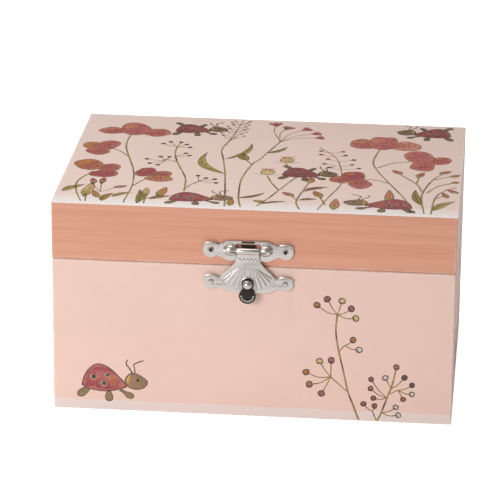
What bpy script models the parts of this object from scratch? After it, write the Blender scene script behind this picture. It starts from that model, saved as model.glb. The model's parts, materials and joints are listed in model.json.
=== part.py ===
"""Ballerina jewellery box: a paper-covered wooden box with a spring catch, a mirror lid, trays, a wind-up
musical movement and a ballerina who stands up and turns as the lid opens. +Z is up and -Y is the front.
The origin is the middle of the underside. Sizes below are in millimetres and are turned to metres where
an object is made."""

import math

import bmesh
import bpy
from mathutils import Matrix, Vector

MM = 0.001
GAP = 0.3  # clearance left between neighbouring pieces
LONG = 60.0  # a cutter at least this long goes right through any wall here

# The box
WIDTH, DEPTH, HEIGHT = 180.0, 127.0, 99.5
WALL, BASE, TOP = 6.0, 5.0, 5.0
CASE_TOP = 72.2
LID_BOTTOM = CASE_TOP + GAP
EDGE_SOFTNESS = 0.5
X_OUT, Y_OUT = WIDTH / 2, DEPTH / 2
X_IN, Y_IN = X_OUT - WALL, Y_OUT - WALL

# The trays
DIVIDER = 3.0
STAGE_TOP = 50.0
STAGE_HALF = 42.0  # half the free width under the stage
LONG_DIVIDER_Y = 10.0
TRAY_DIVIDER_X = 30.0
PAD_THICK = 2.0
MIRROR_HALF_WIDE, MIRROR_HALF_DEEP = 66.0, 43.0
ROLLS, ROLL_BASE, ROLL_HEIGHT = 6, 14.0, 5.0

# The catch on the front, a little left of the middle
CATCH_X, PLATE_Z, STRIKE_Z = -2.0, 79.75, 64.7
PLATE_THICK = 0.8
PLATE_BACK = -Y_OUT - GAP
PLATE_FRONT = PLATE_BACK - PLATE_THICK
EAR_X, EAR_RADIUS = 16.6, 3.5
CATCH_NAIL_Z = PLATE_Z + 0.25
PIN_Y, PIN_Z, PIN_RADIUS = -65.9, 80.2, 0.6
HASP_BACK = -65.0
HASP_HALF_NECK = 5.0
STUD_RADIUS, STUD_Y = 2.2, -66.8
NAIL_BORE = 0.9

# The two hinges on the back
HINGE_XS = (-50.0, 50.0)
HINGE_Y, HINGE_Z = Y_OUT + 1.9, CASE_TOP + GAP / 2
BARREL_RADIUS, HINGE_PIN_RADIUS, HINGE_BORE = 1.6, 0.65, 0.95
LEAF_HALF, LEAF_TALL = 10.0, 14.0
KNUCKLE_HALF = 3.3
STOP_OUT, STOP_UP = 1.9, 2.32  # the stops meet corner to corner when the lid is 101 degrees open

# The ballerina
LEAN = 69.0  # degrees she leans forward under the closed lid
SPINDLE_Y, PIVOT_Z = 35.267, 57.0
FOOT = 5.0  # from the pivot to her toe
TUTU_RADIUS = 15.0

# The musical movement behind the stage
AXLE_Z = 26.0
BED_Y = 54.4
CROWN_TEETH, CROWN_RADIUS = 27, 10.5
PINION_TEETH = 15
PINION_RADIUS = CROWN_RADIUS * PINION_TEETH / CROWN_TEETH
WHEEL_TEETH, WHEEL_RADIUS = 48, 13.2
GOVERNOR_TEETH = 8
GOVERNOR_RADIUS = WHEEL_RADIUS * GOVERNOR_TEETH / WHEEL_TEETH
GOVERNOR_X = -(WHEEL_RADIUS + GOVERNOR_RADIUS)
WORM_WHEEL_TEETH, WORM_WHEEL_RADIUS = 18, 6.0
WORM_RADIUS = 1.5
WORM_X = GOVERNOR_X - WORM_WHEEL_RADIUS - 1.6
WORM_Y = 39.2
DRUM_RADIUS, DRUM_LOW, DRUM_HIGH = 6.5, 14.5, 34.5
COMB_NOTES, NOTE_PITCH = 18, 1.1
COMB_LOW, COMB_ROOT, COMB_HIGH = 7.8, 12.8, 18.6
COMB_SCREW_XS, COMB_SCREW_Z = (19.0, 30.0), 10.2
MOVEMENT_SCREWS = ((-26.0, 41.0), (37.5, 40.0))
WHEEL_Y = 42.7
STOP_ROD_X, STOP_ROD_Y = -33.0, 55.6
NOTCH_HALF = 1.4  # half the width of the slots that the stop rod runs in

COLOURS = {
    "pale_paper": ((0.80, 0.60, 0.53), 0.55, 0.0),
    "terracotta_paper": ((0.66, 0.36, 0.26), 0.5, 0.0),
    "lining": ((0.62, 0.30, 0.30), 0.9, 0.0),
    "nickel": ((0.72, 0.70, 0.67), 0.28, 1.0),
    "mirror": ((0.86, 0.88, 0.88), 0.04, 1.0),
    "brass": ((0.78, 0.58, 0.28), 0.35, 1.0),
    "steel": ((0.60, 0.60, 0.60), 0.35, 1.0),
    "white_plastic": ((0.85, 0.84, 0.80), 0.4, 0.0),
    "doll": ((0.86, 0.66, 0.56), 0.5, 0.0),
    "tulle": ((0.88, 0.62, 0.62), 0.8, 0.0),
}


def clear_scene():
    for obj in list(bpy.data.objects):
        bpy.data.objects.remove(obj, do_unlink=True)


def new_collection(name):
    collection = bpy.data.collections.new(name)
    bpy.context.scene.collection.children.link(collection)
    return collection


def finish_named(name):
    """The material of that name, made the first time that it is asked for."""
    found = bpy.data.materials.get(name)
    if found:
        return found
    colour, roughness, metallic = COLOURS[name]
    made = bpy.data.materials.new(name)
    made.use_nodes = True
    shader = made.node_tree.nodes["Principled BSDF"]
    shader.inputs["Base Color"].default_value = (*colour, 1.0)
    shader.inputs["Roughness"].default_value = roughness
    shader.inputs["Metallic"].default_value = metallic
    return made


def place(name, mesh, finish, location=(0, 0, 0), rotation=(0, 0, 0)):
    """An object in the box's collection; location is in millimetres and rotation in degrees."""
    obj = bpy.data.objects.new(name, mesh)
    obj.location = Vector(location) * MM
    obj.rotation_euler = [math.radians(angle) for angle in rotation]
    mesh.materials.clear()
    mesh.materials.append(finish_named(finish))
    BOX.objects.link(obj)
    return obj


def mesh_from(bm, name):
    bmesh.ops.transform(bm, matrix=Matrix.Scale(MM, 4), verts=bm.verts)
    mesh = bpy.data.meshes.new(name)
    bm.to_mesh(mesh)
    bm.free()
    return mesh


def block(name, low, high, finish, softness=0.0):
    """A box between two corners, with its edges softened if asked."""
    low, high = Vector(low), Vector(high)
    bm = bmesh.new()
    bmesh.ops.create_cube(bm, size=1.0)
    bmesh.ops.scale(bm, vec=high - low, verts=bm.verts)
    obj = place(name, mesh_from(bm, name), finish, (low + high) / 2)
    if softness:
        bevel = obj.modifiers.new("soft_edges", "BEVEL")
        bevel.width = softness * MM
        bevel.segments = 1
    return obj


def rod(name, start, end, radius, finish, segments=24, end_radius=None):
    """A round bar, or a cone if its end radius differs."""
    start, end = Vector(start), Vector(end)
    bm = bmesh.new()
    bmesh.ops.create_cone(
        bm, cap_ends=True, segments=segments, radius1=radius, depth=(end - start).length,
        radius2=radius if end_radius is None else end_radius,
    )
    obj = place(name, mesh_from(bm, name), finish, (start + end) / 2)
    obj.rotation_euler = (end - start).to_track_quat("Z", "Y").to_euler()
    smooth(obj)
    return obj


def ball(name, centre, radii, finish, segments=16, rings=10):
    bm = bmesh.new()
    bmesh.ops.create_uvsphere(bm, u_segments=segments, v_segments=rings, radius=1.0)
    bmesh.ops.scale(bm, vec=Vector(radii), verts=bm.verts)
    obj = place(name, mesh_from(bm, name), finish, centre)
    smooth(obj)
    return obj


def turned(name, profile, finish, location, rotation=(0, 0, 0), segments=24, ring=False):
    """A turned piece: profile lists (radius, height) from the top of its outer side to the bottom. A ring's
    profile is closed by an edge back to its first point."""
    bm = bmesh.new()
    points = [bm.verts.new((radius, 0, height)) for radius, height in profile]
    for one, other in zip(points, points[1:] + points[:1] * ring):
        bm.edges.new((one, other))
    obj = place(name, mesh_from(bm, name), finish, location, rotation)
    screw = obj.modifiers.new("turn", "SCREW")
    screw.steps = screw.render_steps = segments
    screw.use_merge_vertices = True
    screw.merge_threshold = 0.00001
    return obj


def smooth(obj):
    obj.data.shade_smooth()
    obj.data.set_sharp_from_angle(angle=math.radians(35))


def solid_from_curve(curve, name, finish, location=(0, 0, 0), rotation=(0, 0, 0)):
    """Turns curve data into one welded mesh object."""
    guide = bpy.data.objects.new(name + "_guide", curve)
    BOX.objects.link(guide)
    bpy.context.view_layer.update()
    mesh = bpy.data.meshes.new_from_object(guide.evaluated_get(bpy.context.evaluated_depsgraph_get()))
    bpy.data.objects.remove(guide)
    bm = bmesh.new()
    bm.from_mesh(mesh)
    bmesh.ops.remove_doubles(bm, verts=bm.verts, dist=0.000001)
    bm.to_mesh(mesh)
    bm.free()
    mesh.name = name
    return place(name, mesh, finish, location, rotation)


def flat_piece(name, outline, thickness, finish, location, rotation=(90, 0, 0)):
    """A plate cut to an outline of (across, up) points. Unturned it lies flat; the usual turn stands it up,
    facing the front."""
    curve = bpy.data.curves.new(name, "CURVE")
    curve.dimensions = "2D"
    curve.fill_mode = "BOTH"
    curve.extrude = thickness / 2 * MM
    spline = curve.splines.new("POLY")
    spline.points.add(len(outline) - 1)
    for point, (across, up) in zip(spline.points, outline):
        point.co = (across * MM, up * MM, 0, 1)
    spline.use_cyclic_u = True
    return solid_from_curve(curve, name, finish, location, rotation)


def wire(name, points, radius, finish, sides=2):
    """A round wire along points, made a mesh so that it can be joined or cut."""
    curve = bpy.data.curves.new(name, "CURVE")
    curve.dimensions = "3D"
    curve.bevel_depth = radius * MM
    curve.bevel_resolution = sides
    curve.use_fill_caps = True
    spline = curve.splines.new("POLY")
    spline.points.add(len(points) - 1)
    for point, co in zip(spline.points, points):
        point.co = (*(Vector(co) * MM), 1)
    return solid_from_curve(curve, name, finish)


def combine(target, helpers, operation):
    """Adds a Boolean of each helper to the target and takes the helpers out of the render."""
    for helper in helpers:
        step = target.modifiers.new(helper.name, "BOOLEAN")
        step.operation = operation
        step.object = helper
        helper.hide_render = True
        helper.display_type = "WIRE"
        BOX.objects.unlink(helper)
        HELPERS.objects.link(helper)
    return target


def join(target, *helpers):
    return combine(target, helpers, "UNION")


def cut(target, *helpers):
    return combine(target, helpers, "DIFFERENCE")


def pivot(name, location, lean=0.0):
    """An empty on a joint's axis, which the pieces of a moving body are parented to."""
    empty = bpy.data.objects.new(name, None)
    empty.location = Vector(location) * MM
    empty.rotation_euler = (math.radians(lean), 0, 0)
    empty.empty_display_size = 10 * MM
    BOX.objects.link(empty)
    return empty


def hang(empty, *pieces):
    """Parents pieces that are already in place to a pivot."""
    bpy.context.view_layer.update()
    for piece in pieces:
        piece.parent = empty
        piece.matrix_parent_inverse = empty.matrix_world.inverted()


def gear_outline(teeth, pitch, addendum, dedendum, tip, root, phase=0.0):
    """Straight-flanked teeth round a circle; tip and root are a tooth's widths there. A tooth is centred on
    the phase, in teeth."""
    points = []
    for number in range(teeth):
        middle = 2 * math.pi * (number + phase) / teeth
        for radius, width, side in (
            (pitch - dedendum, root, -1), (pitch + addendum, tip, -1),
            (pitch + addendum, tip, 1), (pitch - dedendum, root, 1),
        ):
            angle = middle + side * width / 2 / radius
            points.append((radius * math.cos(angle), radius * math.sin(angle)))
    return points


def arc(centre, radius, start, end, steps):
    """Points along an arc, angles in degrees."""
    return [
        (
            centre[0] + radius * math.cos(math.radians(angle)),
            centre[1] + radius * math.sin(math.radians(angle)),
        )
        for angle in (start + (end - start) * step / steps for step in range(steps + 1))
    ]


def mirrored(half):
    """A whole outline from its right half, listed from top to bottom."""
    return half + [(-across, up) for across, up in reversed(half) if across > 1e-6]


def build_case():
    """The five panels of the lower box, with the holes that its fittings pass through."""
    front = block(
        "front_panel", (-X_OUT, -Y_OUT, 0), (X_OUT, -Y_IN, CASE_TOP), "pale_paper", EDGE_SOFTNESS
    )
    nail_xs = (CATCH_X - EAR_X, CATCH_X + EAR_X)
    cut(front, *(
        rod(
            f"front_hole_{index}", (x, -Y_OUT - 1, STRIKE_Z), (x, -Y_IN - 0.9, STRIKE_Z), radius,
            "pale_paper", 12,
        )
        for index, (x, radius) in enumerate(
            ((nail_xs[0], NAIL_BORE), (nail_xs[1], NAIL_BORE), (CATCH_X, 1.2)),
        )
    ))
    back = block("back_panel", (-X_OUT, Y_IN, 0), (X_OUT, Y_OUT, CASE_TOP), "pale_paper", EDGE_SOFTNESS)
    cut(
        back,
        rod("key_hole", (0, Y_IN - 1, AXLE_Z), (0, Y_OUT + 1, AXLE_Z), 3.0, "pale_paper"),
        block(
            "rod_notch", (STOP_ROD_X - NOTCH_HALF, Y_IN - 1, 69.2),
            (STOP_ROD_X + NOTCH_HALF, Y_IN + 4.4, CASE_TOP + 1),
            "pale_paper",
        ),
        *(
            rod(f"back_hole_{index}", (x, Y_IN - 1, z), (x, Y_IN + 4.5, z), 1.5, "pale_paper", 12)
            for index, (x, z) in enumerate(MOVEMENT_SCREWS)
        ),
    )
    for name, side in (("left_panel", -1), ("right_panel", 1)):
        block(
            name, (min(side * X_IN, side * X_OUT), -Y_IN + GAP, 0),
            (max(side * X_IN, side * X_OUT), Y_IN - GAP, CASE_TOP),
            "pale_paper", EDGE_SOFTNESS,
        )
    block(
        "base_panel", (-X_IN + GAP, -Y_IN + GAP, 0), (X_IN - GAP, Y_IN - GAP, BASE), "pale_paper",
        EDGE_SOFTNESS,
    )


def build_trays():
    """Dividers, the stage over the movement, and the padded floors."""
    floor = BASE + GAP
    under_stage = STAGE_TOP - DIVIDER - GAP
    divider_back = LONG_DIVIDER_Y + DIVIDER + GAP
    block(
        "long_divider", (-X_IN + GAP, LONG_DIVIDER_Y, floor),
        (X_IN - GAP, LONG_DIVIDER_Y + DIVIDER, STAGE_TOP),
        "lining", EDGE_SOFTNESS,
    )
    block(
        "tray_divider", (TRAY_DIVIDER_X, -Y_IN + GAP, floor),
        (TRAY_DIVIDER_X + DIVIDER, LONG_DIVIDER_Y - GAP, STAGE_TOP),
        "lining", EDGE_SOFTNESS,
    )
    for name, side in (("stage_left_divider", -1), ("stage_right_divider", 1)):
        near, far = sorted((side * STAGE_HALF, side * (STAGE_HALF + DIVIDER)))
        block(name, (near, divider_back, floor), (far, Y_IN - GAP, under_stage), "lining")
    stage = block(
        "stage_top", (-STAGE_HALF - DIVIDER, divider_back, STAGE_TOP - DIVIDER),
        (STAGE_HALF + DIVIDER, Y_IN - GAP, STAGE_TOP),
        "lining", EDGE_SOFTNESS,
    )
    cut(
        stage,
        rod(
            "spindle_hole", (0, SPINDLE_Y, STAGE_TOP - LONG / 2), (0, SPINDLE_Y, STAGE_TOP + LONG / 2),
            1.9, "lining",
        ),
        block(
            "stage_notch", (STOP_ROD_X - NOTCH_HALF, STOP_ROD_Y - NOTCH_HALF, STAGE_TOP - LONG / 2),
            (STOP_ROD_X + NOTCH_HALF, Y_IN + 1, STAGE_TOP + LONG / 2),
            "lining",
        ),
    )
    pad_top = floor + GAP + PAD_THICK
    well_x = STAGE_HALF + DIVIDER
    for name, low, high in (
        ("tray_pad", (-X_IN, -Y_IN), (TRAY_DIVIDER_X, LONG_DIVIDER_Y)),
        ("left_well_pad", (-X_IN, divider_back - GAP), (-well_x, Y_IN)),
        ("right_well_pad", (well_x, divider_back - GAP), (X_IN, Y_IN)),
    ):
        block(
            name, (low[0] + 2 * GAP, low[1] + 2 * GAP, floor),
            (high[0] - 2 * GAP, high[1] - 2 * GAP, pad_top),
            "lining", EDGE_SOFTNESS,
        )
    build_ring_cushion(floor)


def build_ring_cushion(floor):
    """Soft rolls side by side, which grip the bands of rings between them."""
    low, high = -Y_IN + 2 * GAP, LONG_DIVIDER_Y - 2 * GAP
    pitch = (high - low) / ROLLS
    top = [(high, 0.0), (low, 0.0)]
    for number in range(ROLLS):
        for angle in (180, 150, 120, 90, 60, 30) + ((0,) if number == ROLLS - 1 else ()):
            top.append((
                low + pitch * (number + 0.5) + pitch / 2 * math.cos(math.radians(angle)),
                ROLL_BASE + ROLL_HEIGHT * math.sin(math.radians(angle)),
            ))
    near, far = TRAY_DIVIDER_X + DIVIDER + 2 * GAP, X_IN - 2 * GAP
    flat_piece("ring_cushion", top, far - near, "lining", ((near + far) / 2, 0, floor), (90, 0, 90))


def build_lid():
    """The lid's frame and top, with the mirror and its padded surround inside."""
    under_top = HEIGHT - TOP
    rail_top = under_top - GAP
    front = block(
        "lid_front_rail", (-X_OUT, -Y_OUT, LID_BOTTOM), (X_OUT, -Y_IN, rail_top), "terracotta_paper",
        EDGE_SOFTNESS
    )
    cut(front, *(
        rod(
            f"lid_hole_{index}", (x, -Y_OUT - 1, CATCH_NAIL_Z), (x, -Y_IN - 0.9, CATCH_NAIL_Z), NAIL_BORE,
            "pale_paper", 12,
        )
        for index, x in enumerate((CATCH_X - EAR_X, CATCH_X + EAR_X))
    ))
    pieces = [
        front,
        block(
            "lid_back_rail", (-X_OUT, Y_IN, LID_BOTTOM), (X_OUT, Y_OUT, rail_top), "pale_paper",
            EDGE_SOFTNESS,
        ),
        block(
            "lid_left_rail", (-X_OUT, -Y_IN + GAP, LID_BOTTOM), (-X_IN, Y_IN - GAP, rail_top),
            "pale_paper", EDGE_SOFTNESS,
        ),
        block(
            "lid_right_rail", (X_IN, -Y_IN + GAP, LID_BOTTOM), (X_OUT, Y_IN - GAP, rail_top),
            "pale_paper", EDGE_SOFTNESS,
        ),
        block("lid_top", (-X_OUT, -Y_OUT, under_top), (X_OUT, Y_OUT, HEIGHT), "pale_paper", EDGE_SOFTNESS),
        block(
            "mirror", (-MIRROR_HALF_WIDE, -MIRROR_HALF_DEEP, under_top - GAP - 1.8),
            (MIRROR_HALF_WIDE, MIRROR_HALF_DEEP, under_top - GAP), "mirror",
        ),
    ]
    surround = block(
        "mirror_surround", (-X_IN + GAP, -Y_IN + GAP, under_top - GAP - 2.4),
        (X_IN - GAP, Y_IN - GAP, under_top - GAP),
        "lining", EDGE_SOFTNESS,
    )
    opening_wide, opening_deep = MIRROR_HALF_WIDE + 0.4, MIRROR_HALF_DEEP + 0.4
    cut(
        surround,
        block(
            "mirror_opening", (-opening_wide, -opening_deep, under_top - 10),
            (opening_wide, opening_deep, under_top + 10), "lining",
        ),
    )
    return [*pieces, surround]


def catch_outline():
    """The plate's outline: a chamfered body between two round ears."""
    return mirrored(
        [(9.2, 4.65), (12.9, 2.7)]
        + arc((EAR_X, 0), EAR_RADIUS, 135, -135, 14)
        + [(12.9, -2.7), (9.2, -4.65)]
    )


def nail(name, x, z, front):
    """A round-headed nail driven through a plate whose face is at that Y."""
    return turned(
        name, [(0, 0.75), (0.8, 0.6), (1.3, 0.05), (1.3, -0.05), (0.55, -0.05), (0.55, -4.6), (0, -5.2)],
        "nickel", (x, front - GAP / 2, z), (90, 0, 0), 12,
    )


def build_catch_plate():
    """The upper plate on the lid, with two raised lugs that hold the hasp's pin."""
    middle_y = (PLATE_BACK + PLATE_FRONT) / 2
    plate = flat_piece("catch_plate", catch_outline(), PLATE_THICK, "nickel", (CATCH_X, middle_y, PLATE_Z))
    for index, side in enumerate((-1, 1)):
        lug = ball(
            f"lug_{index}", (CATCH_X + side * 7.7, PLATE_FRONT + 0.2, PIN_Z), (3.6, 2.9, 2.7), "nickel",
            16, 10,
        )
        cut(
            lug,
            block(f"lug_trim_{index}", (-LONG, middle_y, PLATE_Z - 10), (LONG, 0, PLATE_Z + 10), "nickel"),
        )
        join(plate, lug)
    clearance = HASP_HALF_NECK + 0.4
    cut(
        plate,
        block(
            "hasp_window", (CATCH_X - clearance, -LONG - Y_OUT, PIN_Z - 3.2),
            (CATCH_X + clearance, 0, PIN_Z + 3.0), "nickel",
        ),
        rod(
            "catch_pin_bore", (CATCH_X - 12, PIN_Y, PIN_Z), (CATCH_X + 12, PIN_Y, PIN_Z), 0.85, "nickel",
            16,
        ),
        *(
            rod(
                f"plate_hole_{index}", (CATCH_X + side * EAR_X, -Y_OUT - 5, CATCH_NAIL_Z),
                (CATCH_X + side * EAR_X, -Y_OUT + 5, CATCH_NAIL_Z), NAIL_BORE, "nickel", 12,
            )
            for index, side in enumerate((-1, 1))
        ),
    )
    pin = rod(
        "catch_pin", (CATCH_X - 9.0, PIN_Y, PIN_Z), (CATCH_X + 9.0, PIN_Y, PIN_Z), PIN_RADIUS, "nickel",
        12,
    )
    nails = [
        nail(f"catch_nail_{word}", CATCH_X + side * EAR_X, CATCH_NAIL_Z, PLATE_FRONT)
        for word, side in (("left", -1), ("right", 1))
    ]
    return [plate, pin, *nails]


def build_strike():
    """The lower plate on the case and the round stud that the hasp snaps over."""
    middle_y = (PLATE_BACK + PLATE_FRONT) / 2
    plate = flat_piece("strike_plate", catch_outline(), PLATE_THICK, "nickel", (CATCH_X, middle_y, STRIKE_Z))
    cut(plate, *(
        rod(
            f"strike_hole_{index}", (CATCH_X + across, -Y_OUT - 5, STRIKE_Z),
            (CATCH_X + across, -Y_OUT + 5, STRIKE_Z), radius, "nickel", 12,
        )
        for index, (across, radius) in enumerate(((-EAR_X, NAIL_BORE), (EAR_X, NAIL_BORE), (0, 1.2)))
    ))
    for word, side in (("left", -1), ("right", 1)):
        nail(f"strike_nail_{word}", CATCH_X + side * EAR_X, STRIKE_Z, PLATE_FRONT)
    neck = -math.sqrt(STUD_RADIUS ** 2 - 1.2 ** 2)
    head = [(x, y) for x, y in arc((0, 0), STUD_RADIUS, 90, math.degrees(math.atan2(neck, 1.2)), 9)]
    turned(
        "strike_stud", [(0, STUD_RADIUS)] + head[1:] + [(0.85, neck), (0.85, -6.6), (0, -7.0)],
        "nickel", (CATCH_X, STUD_Y, STRIKE_Z), (90, 0, 0), 20,
    )


def build_hasp():
    """The shell-shaped flap: a rolled knuckle on the pin, a hole for the stud and a round thumb tab."""
    half = [
        (HASP_HALF_NECK, 0), (HASP_HALF_NECK, -3.4), (5.7, -5.4), (7.6, -7.8), (10.2, -10.2), (12.0, -12.4),
        (12.3, -14.0), (11.7, -15.7), (9.8, -17.2), (6.6, -18.4), (3.2, -19.0), (0, -19.1),
    ]
    hasp = flat_piece(
        "hasp", mirrored(half), PLATE_THICK, "nickel", (CATCH_X, HASP_BACK - PLATE_THICK / 2, PIN_Z),
    )
    tab_z = PIN_Z - 20.6
    tab = rod(
        "thumb_tab", (CATCH_X, HASP_BACK - 0.2, tab_z), (CATCH_X, HASP_BACK - 2.1, tab_z), 3.7, "nickel",
        24,
    )
    cut(
        tab,
        block("tab_trim", (-LONG, -LONG - Y_OUT, PIN_Z - 18.6), (LONG, 0, PIN_Z), "nickel"),
        rod(
            "tab_hollow", (CATCH_X, HASP_BACK - 1.3, tab_z), (CATCH_X, HASP_BACK - 5, tab_z), 2.6,
            "nickel", 24,
        ),
    )
    knuckle = rod(
        "hasp_knuckle", (CATCH_X - HASP_HALF_NECK, PIN_Y, PIN_Z),
        (CATCH_X + HASP_HALF_NECK, PIN_Y, PIN_Z), 1.5, "nickel", 20
    )
    join(hasp, knuckle, tab)
    cut(
        hasp,
        rod("hasp_bore", (CATCH_X - 8, PIN_Y, PIN_Z), (CATCH_X + 8, PIN_Y, PIN_Z), 0.85, "nickel", 16),
        rod(
            "stud_hole", (CATCH_X, -Y_OUT - 6, STRIKE_Z), (CATCH_X, -Y_OUT + 3, STRIKE_Z), 2.7, "nickel",
            24,
        ),
    )
    return hasp


def hinge_leaf(name, x, side, spans):
    """One leaf, on the case if side is -1 and on the lid if it is 1, with knuckles over the given spans."""
    front, back = Y_OUT + GAP, Y_OUT + GAP + PLATE_THICK

    def part(word, low, high):
        z_low, z_high = sorted((HINGE_Z + side * low[2], HINGE_Z + side * high[2]))
        return block(f"{name}_{word}", (x + low[0], low[1], z_low), (x + high[0], high[1], z_high), "nickel")

    leaf = part("plate", (-LEAF_HALF, front, BARREL_RADIUS + 0.35), (LEAF_HALF, back, LEAF_TALL))
    leaf.name = name
    join(leaf, part("stop", (-6.0, back - 0.3, STOP_UP), (6.0, HINGE_Y + STOP_OUT, STOP_UP + 1.4)))
    for index, (low, high) in enumerate(spans):
        join(leaf, part(f"web_{index}", (low, front, 0.0), (high, back, BARREL_RADIUS + 1.0)))
        join(leaf, rod(
            f"{name}_barrel_{index}", (x + low, HINGE_Y, HINGE_Z), (x + high, HINGE_Y, HINGE_Z),
            BARREL_RADIUS, "nickel", 16
        ))
    cut(
        leaf,
        rod(
            f"{name}_bore", (x - 12, HINGE_Y, HINGE_Z), (x + 12, HINGE_Y, HINGE_Z), HINGE_BORE, "nickel",
            12,
        ),
    )
    return leaf


def build_hinges():
    """Two stop hinges. Returns the leaves that move with the lid."""
    lid_leaves = []
    for word, x in zip(("left", "right"), HINGE_XS):
        outer = KNUCKLE_HALF + GAP
        hinge_leaf(f"case_leaf_{word}", x, -1, ((-LEAF_HALF, -outer), (outer, LEAF_HALF)))
        lid_leaves.append(hinge_leaf(f"lid_leaf_{word}", x, 1, ((-KNUCKLE_HALF, KNUCKLE_HALF),)))
        rod(
            f"hinge_pin_{word}", (x - LEAF_HALF - GAP, HINGE_Y, HINGE_Z),
            (x + LEAF_HALF + GAP, HINGE_Y, HINGE_Z),
            HINGE_PIN_RADIUS, "nickel", 12,
        )
    return lid_leaves


def along_y(name, x, z, y_low, y_high, radius, finish="brass", segments=24):
    """A rod from front to back."""
    return rod(name, (x, y_low, z), (x, y_high, z), radius, finish, segments)


def build_movement_frame():
    """The bedplate against the back panel, with all that is fixed to it."""
    bed = block("bedplate", (-31.0, BED_Y, 7.0), (40.0, Y_IN - GAP, 45.0), "brass", 0.6)
    join(bed, block("comb_rest", (15.0, 36.3, 7.6), (34.0, BED_Y + 1, 12.6), "brass"))
    cut(
        bed,
        along_y("bed_arbor_hole", 0, AXLE_Z, BED_Y - 5, Y_OUT, 2.3),
        along_y("bed_governor_hole", GOVERNOR_X, AXLE_Z, BED_Y - 5, Y_OUT, 1.1, segments=12),
        *(
            along_y(f"bed_screw_hole_{i}", x, z, BED_Y - 5, Y_OUT, 1.5, segments=12)
            for i, (x, z) in enumerate(MOVEMENT_SCREWS)
        ),
        *(
            along_y(f"comb_rest_hole_{i}", x, COMB_SCREW_Z, 30, 43, 1.2, segments=12)
            for i, x in enumerate(COMB_SCREW_XS)
        ),
    )
    for word, (x, z) in zip(("left", "right"), MOVEMENT_SCREWS):
        screw("movement_screw_" + word, x, z, BED_Y - GAP / 2, 7.0)
    for word, x in zip(("left", "right"), COMB_SCREW_XS):
        screw("comb_screw_" + word, x, COMB_SCREW_Z, 34.7 - GAP / 2, 6.5)
    bearing = block("cylinder_bearing", (35.8, 32.6, 22.6), (38.0, BED_Y - GAP, 29.4), "brass")
    cut(bearing, rod("bearing_bore", (30, SPINDLE_Y, AXLE_Z), (45, SPINDLE_Y, AXLE_Z), 1.15, "brass", 16))
    build_bridge()
    build_governor_frame()


def screw(name, x, z, face, length):
    """A slotted pan-head screw whose head sits on the face at that Y."""
    made = turned(
        name, [(0, 1.2), (1.6, 1.0), (2.1, 0.5), (2.1, 0.0), (0.9, 0.0), (0.9, -length), (0, -length - 0.6)],
        "steel", (x, face, z), (90, 0, 0), 16,
    )
    cut(made, block(name + "_slot", (x - 4, face - 5, z - 0.3), (x + 4, face - 0.7, z + 0.3), "steel"))


def build_bridge():
    """The front plate: it carries the inner ends of the arbor, governor wheel, drum and spindle."""
    bridge = block("front_bridge", (GOVERNOR_X - 2.6, 36.2, 23.4), (8.2, 37.4, 28.6), "brass")
    join(
        bridge,
        block("bridge_strip", (-13.0, 36.2, 8.0), (-9.0, 37.4, 44.0), "brass"),
        block("bridge_drum_lug", (6.2, 32.9, 23.4), (8.2, 37.0, 28.6), "brass"),
        block("bridge_spindle_lug", (-2.6, 32.9, 28.2), (2.6, 37.4, 32.6), "brass"),
        along_y("bridge_post_low", -11.0, 10.0, 36.8, BED_Y - GAP, 1.5, segments=16),
        along_y("bridge_post_high", -11.0, 42.0, 36.8, BED_Y - GAP, 1.5, segments=16),
    )
    cut(
        bridge,
        along_y("bridge_arbor_hole", 0, AXLE_Z, 34.5, 40, 1.65),
        along_y("bridge_governor_hole", GOVERNOR_X, AXLE_Z, 34.5, 40, 1.1, segments=12),
        rod("bridge_drum_hole", (4, SPINDLE_Y, AXLE_Z), (12, SPINDLE_Y, AXLE_Z), 1.15, "brass", 16),
        rod("bridge_spindle_hole", (0, SPINDLE_Y, 29.8), (0, SPINDLE_Y, 36), 1.15, "brass", 16),
    )


def build_governor_frame():
    """The bracket that holds the worm's two ends, with a window for the stop rod."""
    frame = block("governor_frame", (-30.6, 36.5, 12.5), (-28.6, BED_Y - GAP, 44.8), "brass")
    join(
        frame,
        block("governor_foot", (-29.5, 36.5, 12.5), (-20.6, 42.0, 14.5), "brass"),
        block("governor_head", (-29.5, 36.5, 42.8), (-20.6, 42.0, 44.8), "brass"),
    )
    cut(
        frame,
        rod("governor_bore", (WORM_X, WORM_Y, 5), (WORM_X, WORM_Y, 50), 1.05, "brass", 12),
        block("governor_window", (-32, 43.6, 35.2), (-27, 51.0, 42.2), "brass"),
    )


def build_spring_and_comb():
    """The mainspring in its barrel, and the comb."""
    turned(
        "spring_barrel",
        [(12.0, 9.2), (13.0, 9.2), (13.0, -1.0), (2.4, -1.0), (2.4, 0.0), (12.0, 0.0)],
        "brass", (0, 53.1, AXLE_Z), (90, 0, 0), 32, ring=True,
    )
    turns, steps = 4, 18
    spiral = bpy.data.curves.new("mainspring", "CURVE")
    spiral.dimensions = "3D"
    spiral.extrude = 3.4 * MM
    spiral.bevel_depth = 0.25 * MM
    spiral.bevel_resolution = 0
    spiral.use_fill_caps = True
    line = spiral.splines.new("POLY")
    line.points.add(turns * steps)
    for number, point in enumerate(line.points):
        angle = 2 * math.pi * number / steps
        radius = 3.2 + 8.0 * number / (turns * steps)
        point.co = (radius * math.cos(angle) * MM, radius * math.sin(angle) * MM, 0, 1)
    solid_from_curve(spiral, "mainspring", "steel", (0, 48.6, AXLE_Z), (90, 0, 0))
    build_comb()


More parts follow.
